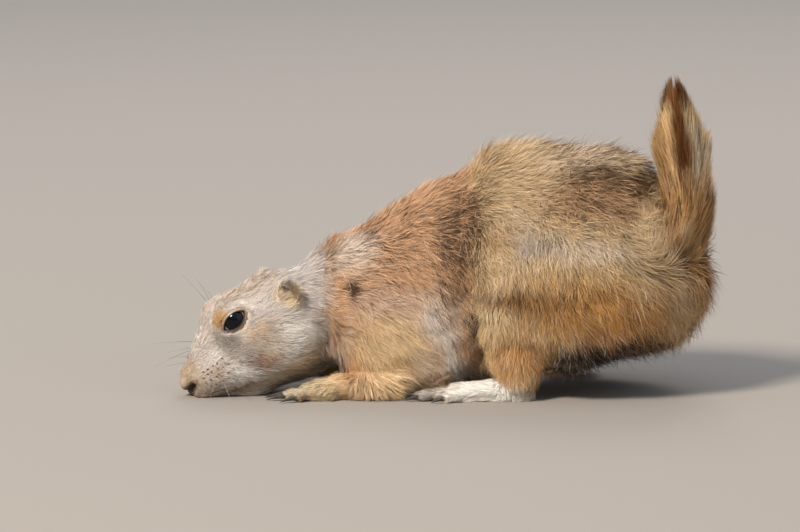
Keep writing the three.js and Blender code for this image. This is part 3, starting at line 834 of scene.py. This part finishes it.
def folds():
    # path, width, depth and darkness of each line that is pressed into the skin; the darkness is painted
    # shade in the crease
    neckFold = ((60, 10, 68), (59, 22, 59), (60, 29, 50), (58, 31, 39))
    lines = [
        ("head", ((30, 1, -23), (27, 5, -24.5), (21, 9, -26.5), (13, 12, -29), (8, 12, -31)), 0.8, 0.9, 1.0),
        ("head", ((31.8, 2.4, -21.6), (30.8, 4.6, -20.0), (29.0, 6.8, -18.4)), 1.8, 3.2, 2.6),
        ("head", ((31, 0.2, -20.5), (30, 0.2, -23.5)), 0.6, 0.5, 0.7),
        ("head", ((-27.5, 19, 2), (-28.5, 19.5, -4)), 1.4, 1.2, 0.8),
        ("trunk", (*neckFold, (57, 29, 27), (52, 30, 20)), 1.6, 1.4, 0.3),
        ("head", ((-30, 16, -38), (-18, 13, -42), (-6, 9, -42)), 2.5, 1.5, 0.8),
        ("trunk", ((-8, 41, 41), (-9, 38, 32), (-11, 36, 25), (-15, 33, 17)), 3.4, 5.5, 0.95),
        ("trunk", ((72, 8, 58), (61, 8, 67), (52, 8, 73), (44, 8, 78)), 10.0, 3.6, 0.0),
        ("pelvis", ((-24, 8, 97), (-32, 8, 89), (-36, 8, 80)), 9.0, 8.5, 0.0),
        ("pelvis", ((34, 47, 29), (31, 45, 20), (28, 43, 12)), 6.0, -4.0, 0.0),
        ("pelvis", ((46, 52, 48), (44, 52, 40), (42, 50, 31)), 6.5, 5.5, 0.0),
        ("pelvis", ((42, 52, 50), (36, 55, 46.5), (31, 56, 43)), 1.5, 1.6, 0.95),
        ("pelvis", ((-49, 11, 60), (-44, 22, 48), (-37, 26, 37)), 1.6, 1.2, 0.25),
        ("pelvis", ((19, 29, 99), (9, 25, 101), (-13, 19, 101), (-27, 7, 97)), 1.6, 1.0, 0.35),
        ("trunk", ((-10, 20, 95), (-9, 32, 82), (-8, 38, 68), (-8, 42, 54)), 1.8, 1.0, 0.35),
    ]
    found = []
    for place, path, width, depth, dark in lines:
        for sign in (1, -1):
            found.append(([at(place, f, l * sign, u) for f, l, u in path], width * mm, depth * mm, dark))
    return found


def unwrap(piece):
    piece.data.uv_layers.new(name="OFBake")
    editAll(piece)
    bpy.ops.uv.smart_project(angle_limit=1.15, island_margin=0.002)
    bpy.ops.object.mode_set(mode="OBJECT")


skin = makeSkin(skinPlan)
drawIn(skin)
print("skin drawn in", len(skin.data.polygons))
unwrap(skin)
print("skin unwrapped")
smooth(skin)


def skinShade():
    shade = Shade("skinUnderCoat")
    root = shade.attribute("rootPlace")
    colour, dark = coatPattern(shade, root, numbers(skin.data.vertices, "co", 3), 0.55)
    colour = shade.mix(0.28, colour, coatTones["umber"])
    # painted shade: the skin is darkened along its folds
    creaseShade = shade.parts(shade.attribute("coatState"))[0]
    colour = shade.mix(creaseShade * 0.9, colour, coatTones["soot"])
    fine = shade.noise(root, 1400.0, 2.0)
    look = {"Base Color": colour, "Roughness": 0.75, "Specular IOR Level": 0.25}
    return shade.surface(look, fine, 0.5, 0.4 * mm)


skin.data.materials.clear()
skin.data.materials.append(skinShade())
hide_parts(*fleshNodes, "tail")
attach(skin, "root")


# Coat: tapered tufts rooted in the skin, gathered to the tips of small locks
class SkinMap:
    # the skin's triangles as arrays, with the coat's lie at each corner
    def __init__(self, skin):
        mesh = skin.data
        mesh.calc_loop_triangles()
        self.faces = numbers(mesh.loop_triangles, "vertices", 3, np.int32)
        self.corners = numbers(mesh.loop_triangles, "loops", 3, np.int32)
        self.spots = numbers(mesh.vertices, "co", 3).astype(float)
        self.normals = numbers(mesh.vertices, "normal", 3).astype(float)
        self.map = numbers(mesh.uv_layers["OFBake"].uv, "vector", 2).astype(float)
        self.state = numbers(mesh.attributes["coatState"].data, "vector", 3)
        self.lie = lieAt(self.spots)
        a, b, c = (self.spots[self.faces[:, i]] for i in range(3))
        self.areas = np.linalg.norm(np.cross(b - a, c - a), axis=1) / 2
        self.middles = (a + b + c) / 3
        self.owner = self.nearestNode()

    def nearestNode(self):
        spots, faces, owners = [], [], []
        for title in fleshNodes + ["tail"]:
            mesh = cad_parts[title].data
            mesh.calc_loop_triangles()
            base = len(spots)
            spots.extend(v.co.copy() for v in mesh.vertices)
            faces.extend(tuple(base + i for i in t.vertices) for t in mesh.loop_triangles)
            owners.extend([title] * len(mesh.loop_triangles))
        tree = BVHTree.FromPolygons(spots, faces)
        return np.array([owners[tree.find_nearest(Vector(spot))[2]] for spot in self.middles])


skinMap = SkinMap(skin)
print("skin read")
armNodes = [f"{title}_{side}" for title in ("upper_arm", "forearm", "fore_paw") for side in sides]
thighNodes = [f"thigh_{side}" for side in sides]
shankNodes = [f"{title}_{side}" for title in ("shank", "hind_foot") for side in sides]
headNodes = ["head", "nose", "ear_left", "ear_right"]
# Each coat piece: nodes it grows on, tufts, width of a tuft, spacing of locks, how far a lock's tips
# are gathered, how far hairs stray from their lie, and the share of long guard hairs
coatPlan = {
    "coat_head": (headNodes, 66000, 0.25, 0.6, 0.5, 0.24, 0.08),
    "coat_neck": (["neck"], 32000, 0.27, 0.7, 0.6, 0.2, 0.08),
    "coat_chest": (["chest"], 66000, 0.27, 0.7, 0.55, 0.24, 0.08),
    "coat_arms": (armNodes, 60000, 0.25, 0.75, 0.6, 0.18, 0.06),
    "coat_loin": (["loin"], 62000, 0.26, 0.7, 0.48, 0.32, 0.2),
    "coat_rump": (["rump"], 66000, 0.27, 0.75, 0.48, 0.32, 0.2),
    "coat_thighs": (thighNodes, 60000, 0.26, 0.75, 0.5, 0.3, 0.1),
    "coat_shanks": (shankNodes, 40000, 0.25, 0.7, 0.6, 0.18, 0.06),
}
coatFields = ("nodes", "count", "width", "lock", "gather", "stray", "guard")
tuftPlan = {
    "steps": (0.0, 0.55, 1.0),  # where a tuft's points lie along it
    "waist": 0.78,
    "length": (0.7, 1.15),
    "height": (0.5, 1.08),
    "guardLength": 1.25,
    "guardHeight": (1.2, 2.2),
    "guardWidth": 0.75,
    "lockLean": 0.16,
    "lockHeight": (0.8, 1.15),
    "roll": 0.55,
    "wave": 0.05,
    "width": (0.6, 1.25),
    "crowd": 3.0,  # how much closer short hair stands, and what is short, in millimetres
    "short": 3,
    "pull": (0.5, 1.2),
    "sole": 1.0 * mm,  # below this height nothing grows
    "root": 0.35 * mm,  # how far roots stand in the skin
    "floor": 0.15 * mm,
}
patchSize = np.array((0.0028, 0.003))  # of a tuft on the skin's map
# Bare places: nose leather, nostrils, and the opening of an eye for roots and for hair that lies over it
barePlan = {
    "nose": ((30, 0, -19), 4.6 * mm),
    "nostril": (((31, 3, -20.6), (29, 6.6, -18)), 1.9 * mm),
    "eyeRoots": (6.8, 3.9),
    "eyeHair": (6.4, 3.5),
}


def turned(vectors, axes, angles):
    # each vector turned about its own axis
    c, s = np.cos(angles)[:, None], np.sin(angles)[:, None]
    dot = (vectors * axes).sum(1, keepdims=True)
    return vectors * c + np.cross(axes, vectors) * s + axes * dot * (1 - c)


def unit(vectors):
    return vectors / np.maximum(np.linalg.norm(vectors, axis=1, keepdims=True), 1e-9)


def nearestOf(middles, spots):
    # the number of the nearest middle to each point
    tree = KDTree(len(middles))
    for i, spot in enumerate(middles):
        tree.insert(spot, i)
    tree.balance()
    return np.array([tree.find(spot)[1] for spot in spots])


def buildTufts(title, lines, sideways, widths, normals, roots, own, clump, state, map):
    # a mesh of flat tufts, each from three points along its middle: two rows and a tip
    count = len(roots)
    rows, bends, tones, maps = [], [], [], []
    for spots, breadth, share in zip(lines, (1.0, tuftPlan["waist"]), tuftPlan["steps"]):
        half = sideways * (widths * breadth / 2)[:, None]
        for sign in (-1, 1):
            rows.append(spots + half * sign)
            bends.append(unit(normals + sideways * 0.5 * sign))
            tones.append(np.column_stack([np.full(count, share), own, clump]))
            maps.append(map + patchSize * (0.5 * sign, share - 0.5))
    rows.append(lines[2])
    bends.append(normals)
    tones.append(np.column_stack([np.ones(count), own, clump]))
    maps.append(map + patchSize * (0.0, 0.5))
    spots = np.stack(rows, 1).reshape(-1, 3)
    spots[:, 2] = np.maximum(spots[:, 2], tuftPlan["floor"])
    corners = np.array([(0, 3, 1), (0, 2, 3), (2, 4, 3)])
    faces = (np.arange(count)[:, None, None] * len(rows) + corners[None]).reshape(-1, 3)
    mesh = bpy.data.meshes.new(title)
    mesh.vertices.add(len(spots))
    mesh.vertices.foreach_set("co", spots.astype(np.float32).ravel())
    mesh.loops.add(faces.size)
    mesh.loops.foreach_set("vertex_index", faces.astype(np.int32).ravel())
    mesh.polygons.add(len(faces))
    mesh.polygons.foreach_set("loop_start", np.arange(0, faces.size, 3, dtype=np.int32))
    mesh.update(calc_edges=True)
    mesh.polygons.foreach_set("use_smooth", np.ones(len(faces), bool))
    layer = mesh.uv_layers.new(name="OFBake")
    flat = np.stack(maps, 1).reshape(-1, 2)[faces.ravel()]
    layer.uv.foreach_set("vector", flat.astype(np.float32).ravel())
    addField(mesh, "rootPlace", np.repeat(roots, len(rows), 0))
    addField(mesh, "tuftTone", np.stack(tones, 1).reshape(-1, 3))
    addField(mesh, "coatState", np.repeat(state, len(rows), 0))
    mesh.normals_split_custom_set_from_vertices(np.stack(bends, 1).reshape(-1, 3).astype(np.float32))
    return addPiece(title, mesh)


def overEyes(spots, across, up):
    # whether each point lies over an eye's opening
    inside = np.zeros(len(spots), bool)
    for side in sides:
        own = (spots - np.array(eyeSpots[side])) @ np.array(eyeTurns[side]) / mm
        inside |= ((own[:, 0] / across) ** 2 + (own[:, 1] / up) ** 2 < 1) & (own[:, 2] > 0)
    return inside


def growCoat(title, plan, seed):
    draw = np.random.default_rng(seed)
    wanted = np.isin(skinMap.owner, plan["nodes"])
    weight = skinMap.areas * wanted
    # shorter hair stands closer
    length = skinMap.lie[skinMap.faces].mean(1)[:, 3] / mm
    weight = weight * (1 + tuftPlan["crowd"] * np.exp(-length / tuftPlan["short"]))
    weight[skinMap.middles[:, 2] < tuftPlan["sole"]] = 0
    chosen = draw.choice(len(weight), plan["count"], p=weight / weight.sum())
    first = np.sqrt(draw.random(plan["count"]))
    second = draw.random(plan["count"])
    shares = np.column_stack([1 - first, first * (1 - second), first * second])
    faces = skinMap.faces[chosen]

    def between(values):
        return (values[faces] * shares[:, :, None]).sum(1)

    roots = between(skinMap.spots)
    normals = unit(between(skinMap.normals))
    lie = between(skinMap.lie)
    map = (skinMap.map[skinMap.corners[chosen]] * shares[:, :, None]).sum(1)
    state = between(skinMap.state)
    lengths, heights = lie[:, 3], lie[:, 4]
    clear = ~overEyes(roots, *barePlan["eyeRoots"])
    spot, gap = barePlan["nose"]
    clear &= np.linalg.norm(roots - np.array(at("head", *spot)), axis=1) > gap
    line, gap = barePlan["nostril"]
    for sign in (1, -1):
        clear &= pathGap(roots, [at("head", ahead, left * sign, up) for ahead, left, up in line]) > gap
    roots, normals, lie, map, state, lengths, heights = (
        values[clear] for values in (roots, normals, lie, map, state, lengths, heights)
    )
    count = len(roots)
    ahead = lie[:, :3]
    ahead = unit(ahead - normals * (ahead * normals).sum(1, keepdims=True))
    x, z = roots[:, 0], roots[:, 2]
    swirl = 0.22 * np.sin(x * 230 + 1.7 * np.sin(z * 190)) + 0.12 * np.sin(z * 410 + x * 130)
    ahead = turned(ahead, normals, swirl + draw.normal(0, plan["stray"], count))
    lengths = lengths * draw.uniform(*tuftPlan["length"], count)
    heights = heights * draw.uniform(*tuftPlan["height"], count)
    guard = draw.random(count) < plan["guard"]
    lengths = np.where(guard, lengths * tuftPlan["guardLength"], lengths)
    heights = np.where(guard, heights * draw.uniform(*tuftPlan["guardHeight"], count), heights)
    # locks
    spacing = plan["lock"] * mm
    area = (skinMap.areas * wanted).sum()
    centres = draw.choice(count, min(count, max(40, int(area / spacing**2))), replace=False)
    lock = nearestOf(roots[centres], roots)
    lean = draw.normal(0, tuftPlan["lockLean"], len(centres))
    tall = draw.uniform(*tuftPlan["lockHeight"], len(centres))
    ahead = turned(ahead, normals, lean[lock])
    heights = heights * tall[lock]
    run = np.sqrt(np.maximum(lengths**2 - heights**2, (0.4 * lengths) ** 2))
    tips = roots + ahead * run[:, None] + normals * heights[:, None]
    gather = plan["gather"] * draw.uniform(*tuftPlan["pull"], count)
    pull = (tips[centres][lock] - tips) * gather[:, None]
    pull -= normals * np.maximum((pull * normals).sum(1), 0)[:, None]
    wave = draw.normal(0, tuftPlan["wave"], count)
    across = np.cross(normals, ahead)
    lines = []
    for s in tuftPlan["steps"]:
        rise = heights * (1 - (1 - s) ** 1.7) - tuftPlan["root"] * (1 - s)
        line = roots + ahead * (run * s)[:, None] + normals * rise[:, None] + pull * s**1.6
        lines.append(line + across * (wave * lengths * math.sin(math.pi * s))[:, None])
    sideways = turned(across, ahead, draw.normal(0, tuftPlan["roll"], count))
    widths = plan["width"] * mm * draw.uniform(*tuftPlan["width"], count)
    widths = widths * np.clip(lengths / (9 * mm), 0.6, 1.1)
    widths = np.where(guard, widths * tuftPlan["guardWidth"], widths)
    clump = draw.random(len(centres))[lock]
    own = draw.random(count)
    kept = ~overEyes(lines[1], *barePlan["eyeHair"]) & ~overEyes(lines[2], *barePlan["eyeHair"])
    lines = [line[kept] for line in lines]
    sideways, widths, normals, roots, own, clump, state, map = (
        values[kept] for values in (sideways, widths, normals, roots, own, clump, state, map)
    )
    piece = buildTufts(title, lines, sideways, widths, normals, roots, own, clump, state, map)
    print(title, len(roots), "tufts", len(piece.data.polygons), "triangles,", round(area * 1e6), "mm2")
    return piece


# Tail: bristly hair all round a thin core, to a ragged pointed tip
tailPlan = {
    "count": 46000,
    "length": (15.0, 30.0),
    "width": 0.36,
    "spread": (  # half the width of the brush along the tail
        *((0, 10), (0.4, 12), (0.6, 13.5), (0.75, 14.5)),
        *((0.88, 13), (0.95, 10), (1.0, 7.5), (1.06, 4)),
    ),
    "locks": 900,
    "bunches": 180,
    "bone": ((-26, 0, 52), (-38, 0, 70), (-40.5, 0, 92), (-35.5, 0, 122), (-33, 0, 140)),
    "core": ((0, 4.2), (0.5, 4.0), (0.8, 3.0), (1, 0.8)),
    "ends": (0.2, 0.84),  # share of the tail where the first locks end, and what the last add to it
    "turn": 2.4,  # from one bunch to the next, round the tail
    "tipShares": (0.16, 1.06),  # of the tail's length
    "rootShares": (0.06, 0.9),
    "fill": (0.85, 0.78, 0.15),  # how far tips stand inside, from where on, and over what share
    "arch": 0.16,
    "roll": 0.6,
    "tuft": (0.6, 1.2),
    "streak": 0.42,
    "clump": 0.7,
    "depth": 0.25,
}


def tailLine(shares):
    # points and directions along the tail's middle
    bone = [at("pelvis", *spot) for spot in tailPlan["bone"]]
    bone = np.array([bone[0] * 2 - bone[1], *bone, bone[-1] * 2 - bone[-2]])
    t = np.linspace(0, len(bone) - 3.001, 200)
    i = t.astype(int)
    u = (t - i)[:, None]
    a, b, c, d = (bone[i + k] for k in range(4))
    square = (2 * a - 5 * b + 4 * c - d) * u**2
    fine = 0.5 * (2 * b + (c - a) * u + square + (3 * b - a - 3 * c + d) * u**3)
    run = np.concatenate([[0], np.cumsum(np.linalg.norm(np.diff(fine, axis=0), axis=1))])
    spots = np.column_stack([np.interp(shares * run[-1], run, fine[:, k]) for k in range(3)])
    ahead = np.gradient(fine, axis=0)
    ways = unit(np.column_stack([np.interp(shares * run[-1], run, ahead[:, k]) for k in range(3)]))
    past = np.maximum(shares - 1, 0)[:, None] * run[-1]
    return spots + ways * past, ways, run[-1]


def growTail(plan, seed):
    draw = np.random.default_rng(seed)
    count = plan["count"]
    locks = plan["locks"]
    bunches = plan["bunches"]
    bunch = draw.integers(0, bunches, locks)
    turn = np.arange(bunches) * plan["turn"]
    first, over = plan["ends"]
    lockEnd = (first + over * draw.permutation(bunches) / bunches)[bunch]
    lockEnd = lockEnd - np.abs(draw.normal(0, 0.03, locks))
    lockAngle = (turn + draw.normal(0, 0.1, bunches))[bunch] + draw.normal(0, 0.05, locks)
    lockReach = draw.uniform(0.72, 1.1, bunches)[bunch] * draw.uniform(0.85, 1.02, locks)
    own = draw.integers(0, locks, count)
    _, _, total = tailLine(np.array([0.5]))
    length = draw.uniform(*plan["length"], count) * mm
    end = np.clip(lockEnd[own] + draw.normal(0, 0.025, count), *plan["tipShares"])
    start = np.clip(end - length / total, *plan["rootShares"])
    angle = lockAngle[own] + draw.normal(0, 0.09, count)
    rootAngle = lockAngle[own] + draw.normal(0, 0.3, count)
    reach = np.interp(end, *zip(*plan["spread"])) * mm * lockReach[own] * draw.uniform(0.8, 1.06, count)
    # the top is filled as well as ringed
    inward, top, over = plan["fill"]
    reach *= 1 - inward * draw.random(count) * np.clip((end - top) / over, 0, 1)
    low, lowWay, _ = tailLine(start)
    high, highWay, _ = tailLine(end)
    aside, asideRoot = (
        np.column_stack([-np.sin(a), np.cos(a), np.zeros(count)]) for a in (angle, rootAngle)
    )
    out = unit(np.cross(asideRoot, lowWay))
    outHigh = unit(np.cross(aside, highWay))
    core = np.interp(start, *zip(*plan["core"])) * mm
    roots = low + out * core[:, None]
    tips = high + outHigh * reach[:, None]
    bulge = outHigh * (plan["arch"] * length)[:, None] * draw.uniform(0.2, 1.0, count)[:, None]
    bend = roots * 0.5 + tips * 0.5 + bulge
    lines = [roots * (1 - s) ** 2 + bend * 2 * s * (1 - s) + tips * s**2 for s in tuftPlan["steps"]]
    ahead = unit(tips - roots)
    normals = unit(out - ahead * (out * ahead).sum(1, keepdims=True))
    sideways = turned(np.cross(normals, ahead), ahead, draw.normal(0, plan["roll"], count))
    widths = plan["width"] * mm * draw.uniform(*plan["tuft"], count)
    # each tuft's patch on the skin's map is where its root lies
    map = skinMap.map[skinMap.corners[nearestOf(skinMap.middles, roots)]].mean(1)
    clump = draw.random(locks)[own] * plan["clump"]
    face = np.minimum(np.abs(np.cos(angle)), 1)
    streak = np.exp(-((face / plan["streak"]) ** 2)) * np.clip((end - 0.5) / 0.2, 0, 1)
    streak = np.maximum(streak, np.clip((end - 0.9) / 0.08, 0, 1) * 0.8) * draw.uniform(0.6, 1.0, count)
    state = np.column_stack([np.zeros(count), np.full(count, plan["depth"]), streak])
    own = draw.random(count)
    piece = buildTufts("coat_tail", lines, sideways, widths, normals, roots, own, clump, state, map)
    print("coat_tail", count, "tufts", len(piece.data.polygons), "triangles")
    return piece


slots = {"coat_head": "face_fur", **dict.fromkeys(("coat_neck", "coat_chest", "coat_arms"), "summer_fur")}
for seed, (title, row) in enumerate(coatPlan.items()):
    piece = growCoat(title, dict(zip(coatFields, row)), 100 + seed)
    piece.data.materials.append(coatShade(piece))
    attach(piece, "root")

tail = growTail(tailPlan, 7)
tail.data.materials.append(coatShade(tail))
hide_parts("tail")
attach(tail, "root")


# Eyes, with a slightly raised cornea, and lids: rings from the ball over a dark rim to the pale skin.
# A ring is its length and height, how far it stands over the rim's level, and how dark it is.
eyePlan = {
    "radius": 6.2,
    "cornea": 0.35,
    "lid": (
        (10.6, 5.2, -1.4, 1.0),
        (11.5, 5.8, -0.4, 1.0),
        (12.0, 6.2, 0.0, 1.0),
        (12.7, 6.8, 0.05, 1.0),
        (13.3, 7.5, -0.1, 0.25),
        (14.2, 8.6, -0.25, 0.0),
        (15.6, 10.2, -0.9, 0.0),
    ),
}


def eyeShade(turn, middle):
    shade = Shade("eyeGloss")
    spot = shade.objectPlace()
    own = shade.mapped(spot, middle, turn.to_euler(), (mm, mm, 1000.0))
    away = shade.vector("LENGTH", own, output=1)
    speckle = shade.noise(spot, 900.0, 3.0)
    iris = shade.ramp(away, 3.0, 3.5) * (1 - shade.ramp(away, 4.6, 5.6))
    colour = shade.mix(iris * (speckle * 0.8 + 0.2), tone(6, 5, 6), tone(30, 19, 13))
    gloss = {"Roughness": 0.07, "IOR": 1.4, "Specular Tint": (0.65, 0.78, 1.0, 1.0)}
    return shade.surface({"Base Color": colour, **gloss})


def makeEye(side, plan):
    dropSelection()
    bpy.ops.mesh.primitive_uv_sphere_add(segments=48, ring_count=32, radius=plan["radius"] * mm)
    eye = bpy.context.object
    eye.name = f"eyeball_{side}"
    for vertex in eye.data.vertices:
        front = max(0.0, (vertex.co.z / (plan["radius"] * mm) - 0.55) / 0.45)
        vertex.co.z += plan["cornea"] * mm * front * front * (3 - 2 * front)
    eye.data.transform(Matrix.Translation(eyeSpots[side]) @ eyeTurns[side].to_4x4())
    smooth(eye)
    eye.data.materials.append(eyeShade(eyeTurns[side], eyeSpots[side]))
    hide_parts(f"eye_{side}")
    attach(eye, "root")


def almondPoint(angle, length, height):
    # the edge of the opening, in the eye's own across and up
    across = math.cos(angle)
    bulge = (1 - across * across) ** 0.78
    return across * length / 2, math.copysign(bulge, math.sin(angle)) * height / 2


def makeLid(side, plan):
    spots, darks = [], []
    count = 96
    for length, height, rise, dark in plan["lid"]:
        for i in range(count):
            x, y = almondPoint(2 * math.pi * i / count, length, height)
            # the rim stands just over the ball at its middle and over the skin at its corners
            away = (y * 12 / length) ** 2 * 0.9 + (0.78 * x * 12 / length) ** 2
            rim = max(math.sqrt(plan["radius"] ** 2 - away), 4.0)
            spots.append(eyeSpots[side] + eyeTurns[side] @ (Vector((x, y, rim + 0.35 + rise)) * mm))
            darks.append(dark)
    faces = [face[::-1] for face in bandFaces(0, len(plan["lid"]), count)]
    lid = pieceFrom(f"lid_{side}", spots, faces, darks)
    applyModifier(lid, "SOLIDIFY", thickness=0.3 * mm, offset=-1)
    applyModifier(lid, "SUBSURF", levels=1, render_levels=1)
    editAll(lid)
    bpy.ops.mesh.normals_make_consistent(inside=False)
    bpy.ops.object.mode_set(mode="OBJECT")
    bpy.ops.object.shade_smooth()
    lid.data.materials.clear()
    lid.data.materials.append(lidMaterial)
    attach(lid, "root")


def grained(shade, scale, colour, darker):
    grain = shade.noise(shade.objectPlace(), scale, 4.0, 0.6)
    return grain, shade.mix(shade.ramp(grain, 0.3, 0.7), colour, darker)


def lidShade():
    shade = Shade("lidSkin")
    grain, pale = grained(shade, 1500.0, tone(170, 144, 114), tone(136, 110, 84))
    dark = shade.mix(shade.ramp(grain, 0.3, 0.7), tone(30, 23, 20), tone(14, 11, 10))
    colour = shade.mix(shade.attribute("dark", "Fac"), pale, dark)
    return shade.surface({"Base Color": colour, "Roughness": 0.45}, grain, 0.3, 0.3 * mm)


def bareShade(title, colour, darker, scale):
    shade = Shade(title)
    grain, mixed = grained(shade, scale, colour, darker)
    return shade.surface({"Base Color": mixed, "Roughness": 0.5}, grain, 0.3, 0.3 * mm)


lidMaterial = lidShade()
for side in sides:
    makeEye(side, eyePlan)
    makeLid(side, eyePlan)
print("eyes set")

# Claws keep their solids, in dark ridged horn
clawMaterial = bareShade("clawHorn", tone(82, 72, 64), tone(44, 37, 33), 700.0)
for title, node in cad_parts.items():
    if title.startswith("claw"):
        for slot in node.material_slots:
            slot.material = clawMaterial


# Whiskers: place and point of the root, way it points, length, and whether it is dark
whiskerPlan = {"thickness": 0.16, "steps": 9, "droop": 0.10, "sides": 3}
whiskers = [
    ((2, 12, 9), (0.15, 0.35, 1.0), 19, 1),
    ((0, 13, 8), (-0.1, 0.5, 1.0), 14, 1),
    ((15, 8, -5), (0.9, 0.3, 0.55), 20, 1),
    ((16, 8, -8), (1.0, 0.5, 0.1), 21, 1),
    ((22, 9, -14), (0.9, 0.7, 0.2), 15, 0),
    ((19, 10.5, -14), (0.7, 0.9, 0.2), 19, 1),
    ((16, 11.5, -14), (0.4, 1.0, 0.2), 23, 1),
    ((12, 12.5, -14), (0.1, 1.0, 0.15), 25, 1),
    ((23, 9, -17), (1.0, 0.8, -0.1), 12, 0),
    ((20, 11, -17.5), (0.8, 0.9, -0.05), 16, 0),
    ((16, 12, -18), (0.4, 1.0, -0.05), 21, 1),
    ((12, 13, -18.5), (0.0, 1.0, -0.1), 26, 1),
    ((8, 14, -18.5), (-0.3, 1.0, -0.1), 24, 0),
    ((23, 8, -20.5), (1.0, 0.7, -0.4), 10, 0),
    ((20, 10, -21), (0.8, 0.9, -0.35), 13, 0),
    ((16, 12, -21.5), (0.3, 1.0, -0.35), 17, 0),
    ((12, 13, -22), (0.0, 1.0, -0.4), 20, 1),
    ((-6, 20, -26), (-0.4, 1.0, -0.6), 13, 1),
]


def growWhiskers(plan):
    tree = BVHTree.FromObject(skin, bpy.context.evaluated_depsgraph_get())
    spots, faces, darks = [], [], []
    count, rows = plan["sides"], plan["steps"]
    for sign in (1, -1):
        for i, (root, way, length, dark) in enumerate(whiskers):
            start = tree.find_nearest(at("head", root[0], root[1] * sign, root[2]))[0]
            ahead = along("head", way[0], way[1] * sign, way[2])
            side = ahead.cross(Vector((0, 0, 1))).normalized()
            above = side.cross(ahead)
            base = len(spots)
            for step in range(rows):
                s = step / (rows - 1)
                sway = side * 0.05 * math.sin(2.3 * i + 1.9 * s) * s
                droop = Vector((0, 0, 1)) * plan["droop"] * s * s
                middle = start + (ahead * s + sway - droop) * length * mm
                middle.z = max(middle.z, 0.4 * mm)
                radius = plan["thickness"] / 2 * mm * (1 - 0.85 * s)
                spots += ringAt(middle, side, above, radius, count)
                darks += [dark] * count
            faces += bandFaces(base, rows, count)
            last = base + count * (rows - 1)
            faces += [(base + 2, base + 1, base), (last, last + 1, last + 2)]
    piece = pieceFrom("whiskers", spots, faces, darks)
    smooth(piece)
    shade = Shade("whiskerHair")
    colour = shade.mix(shade.attribute("dark", "Fac"), tone(190, 180, 165), tone(46, 38, 34))
    piece.data.materials.append(shade.surface({"Base Color": colour, "Roughness": 0.4}))
    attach(piece, "root")


growWhiskers(whiskerPlan)
print("whiskers set")

# Dark stubs in rows on the upper lip, where the whiskers stand: first point, last point and number of
# each row, in forward and up, and the height and radius of a stub's rings
follicleRows = [
    ((24, -12), (13, -12.5), 5),
    ((25, -15), (11, -15.5), 6),
    ((24.5, -18.5), (10, -18.5), 6),
    ((23, -21.5), (11, -21.5), 5),
]
follicleRings = ((0.0, 0.3), (0.9, 0.26), (1.3, 0.12))


def setFollicles(rows):
    tree = BVHTree.FromObject(skin, bpy.context.evaluated_depsgraph_get())
    draw = np.random.default_rng(5)
    spots, faces = [], []
    count = 5
    for sign in (1, -1):
        for first, last, stubs in rows:
            for i in range(stubs):
                s = i / (stubs - 1)
                ahead, rise = (a * (1 - s) + b * s + draw.uniform(-0.5, 0.5) for a, b in zip(first, last))
                start, out, _, _ = tree.find_nearest(at("head", ahead, 13 * sign, rise))
                lean = (out + along("head", -0.5, 0.2 * sign, 0)).normalized()
                side = lean.cross(Vector((0, 0, 1))).normalized()
                above = side.cross(lean)
                base = len(spots)
                for height, radius in follicleRings:
                    spots += ringAt(start + lean * height * mm, side, above, radius * mm, count)
                faces += bandFaces(base, len(follicleRings), count)
                faces.append(tuple(base + 2 * count + k for k in range(count)))
                faces.append(tuple(base + k for k in reversed(range(count))))
    piece = pieceFrom("follicles", spots, faces)
    smooth(piece)
    piece.data.materials.append(bareShade("follicleSkin", tone(118, 96, 76), tone(84, 66, 52), 1500.0))
    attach(piece, "root")


setFollicles(follicleRows)
print("follicles set")
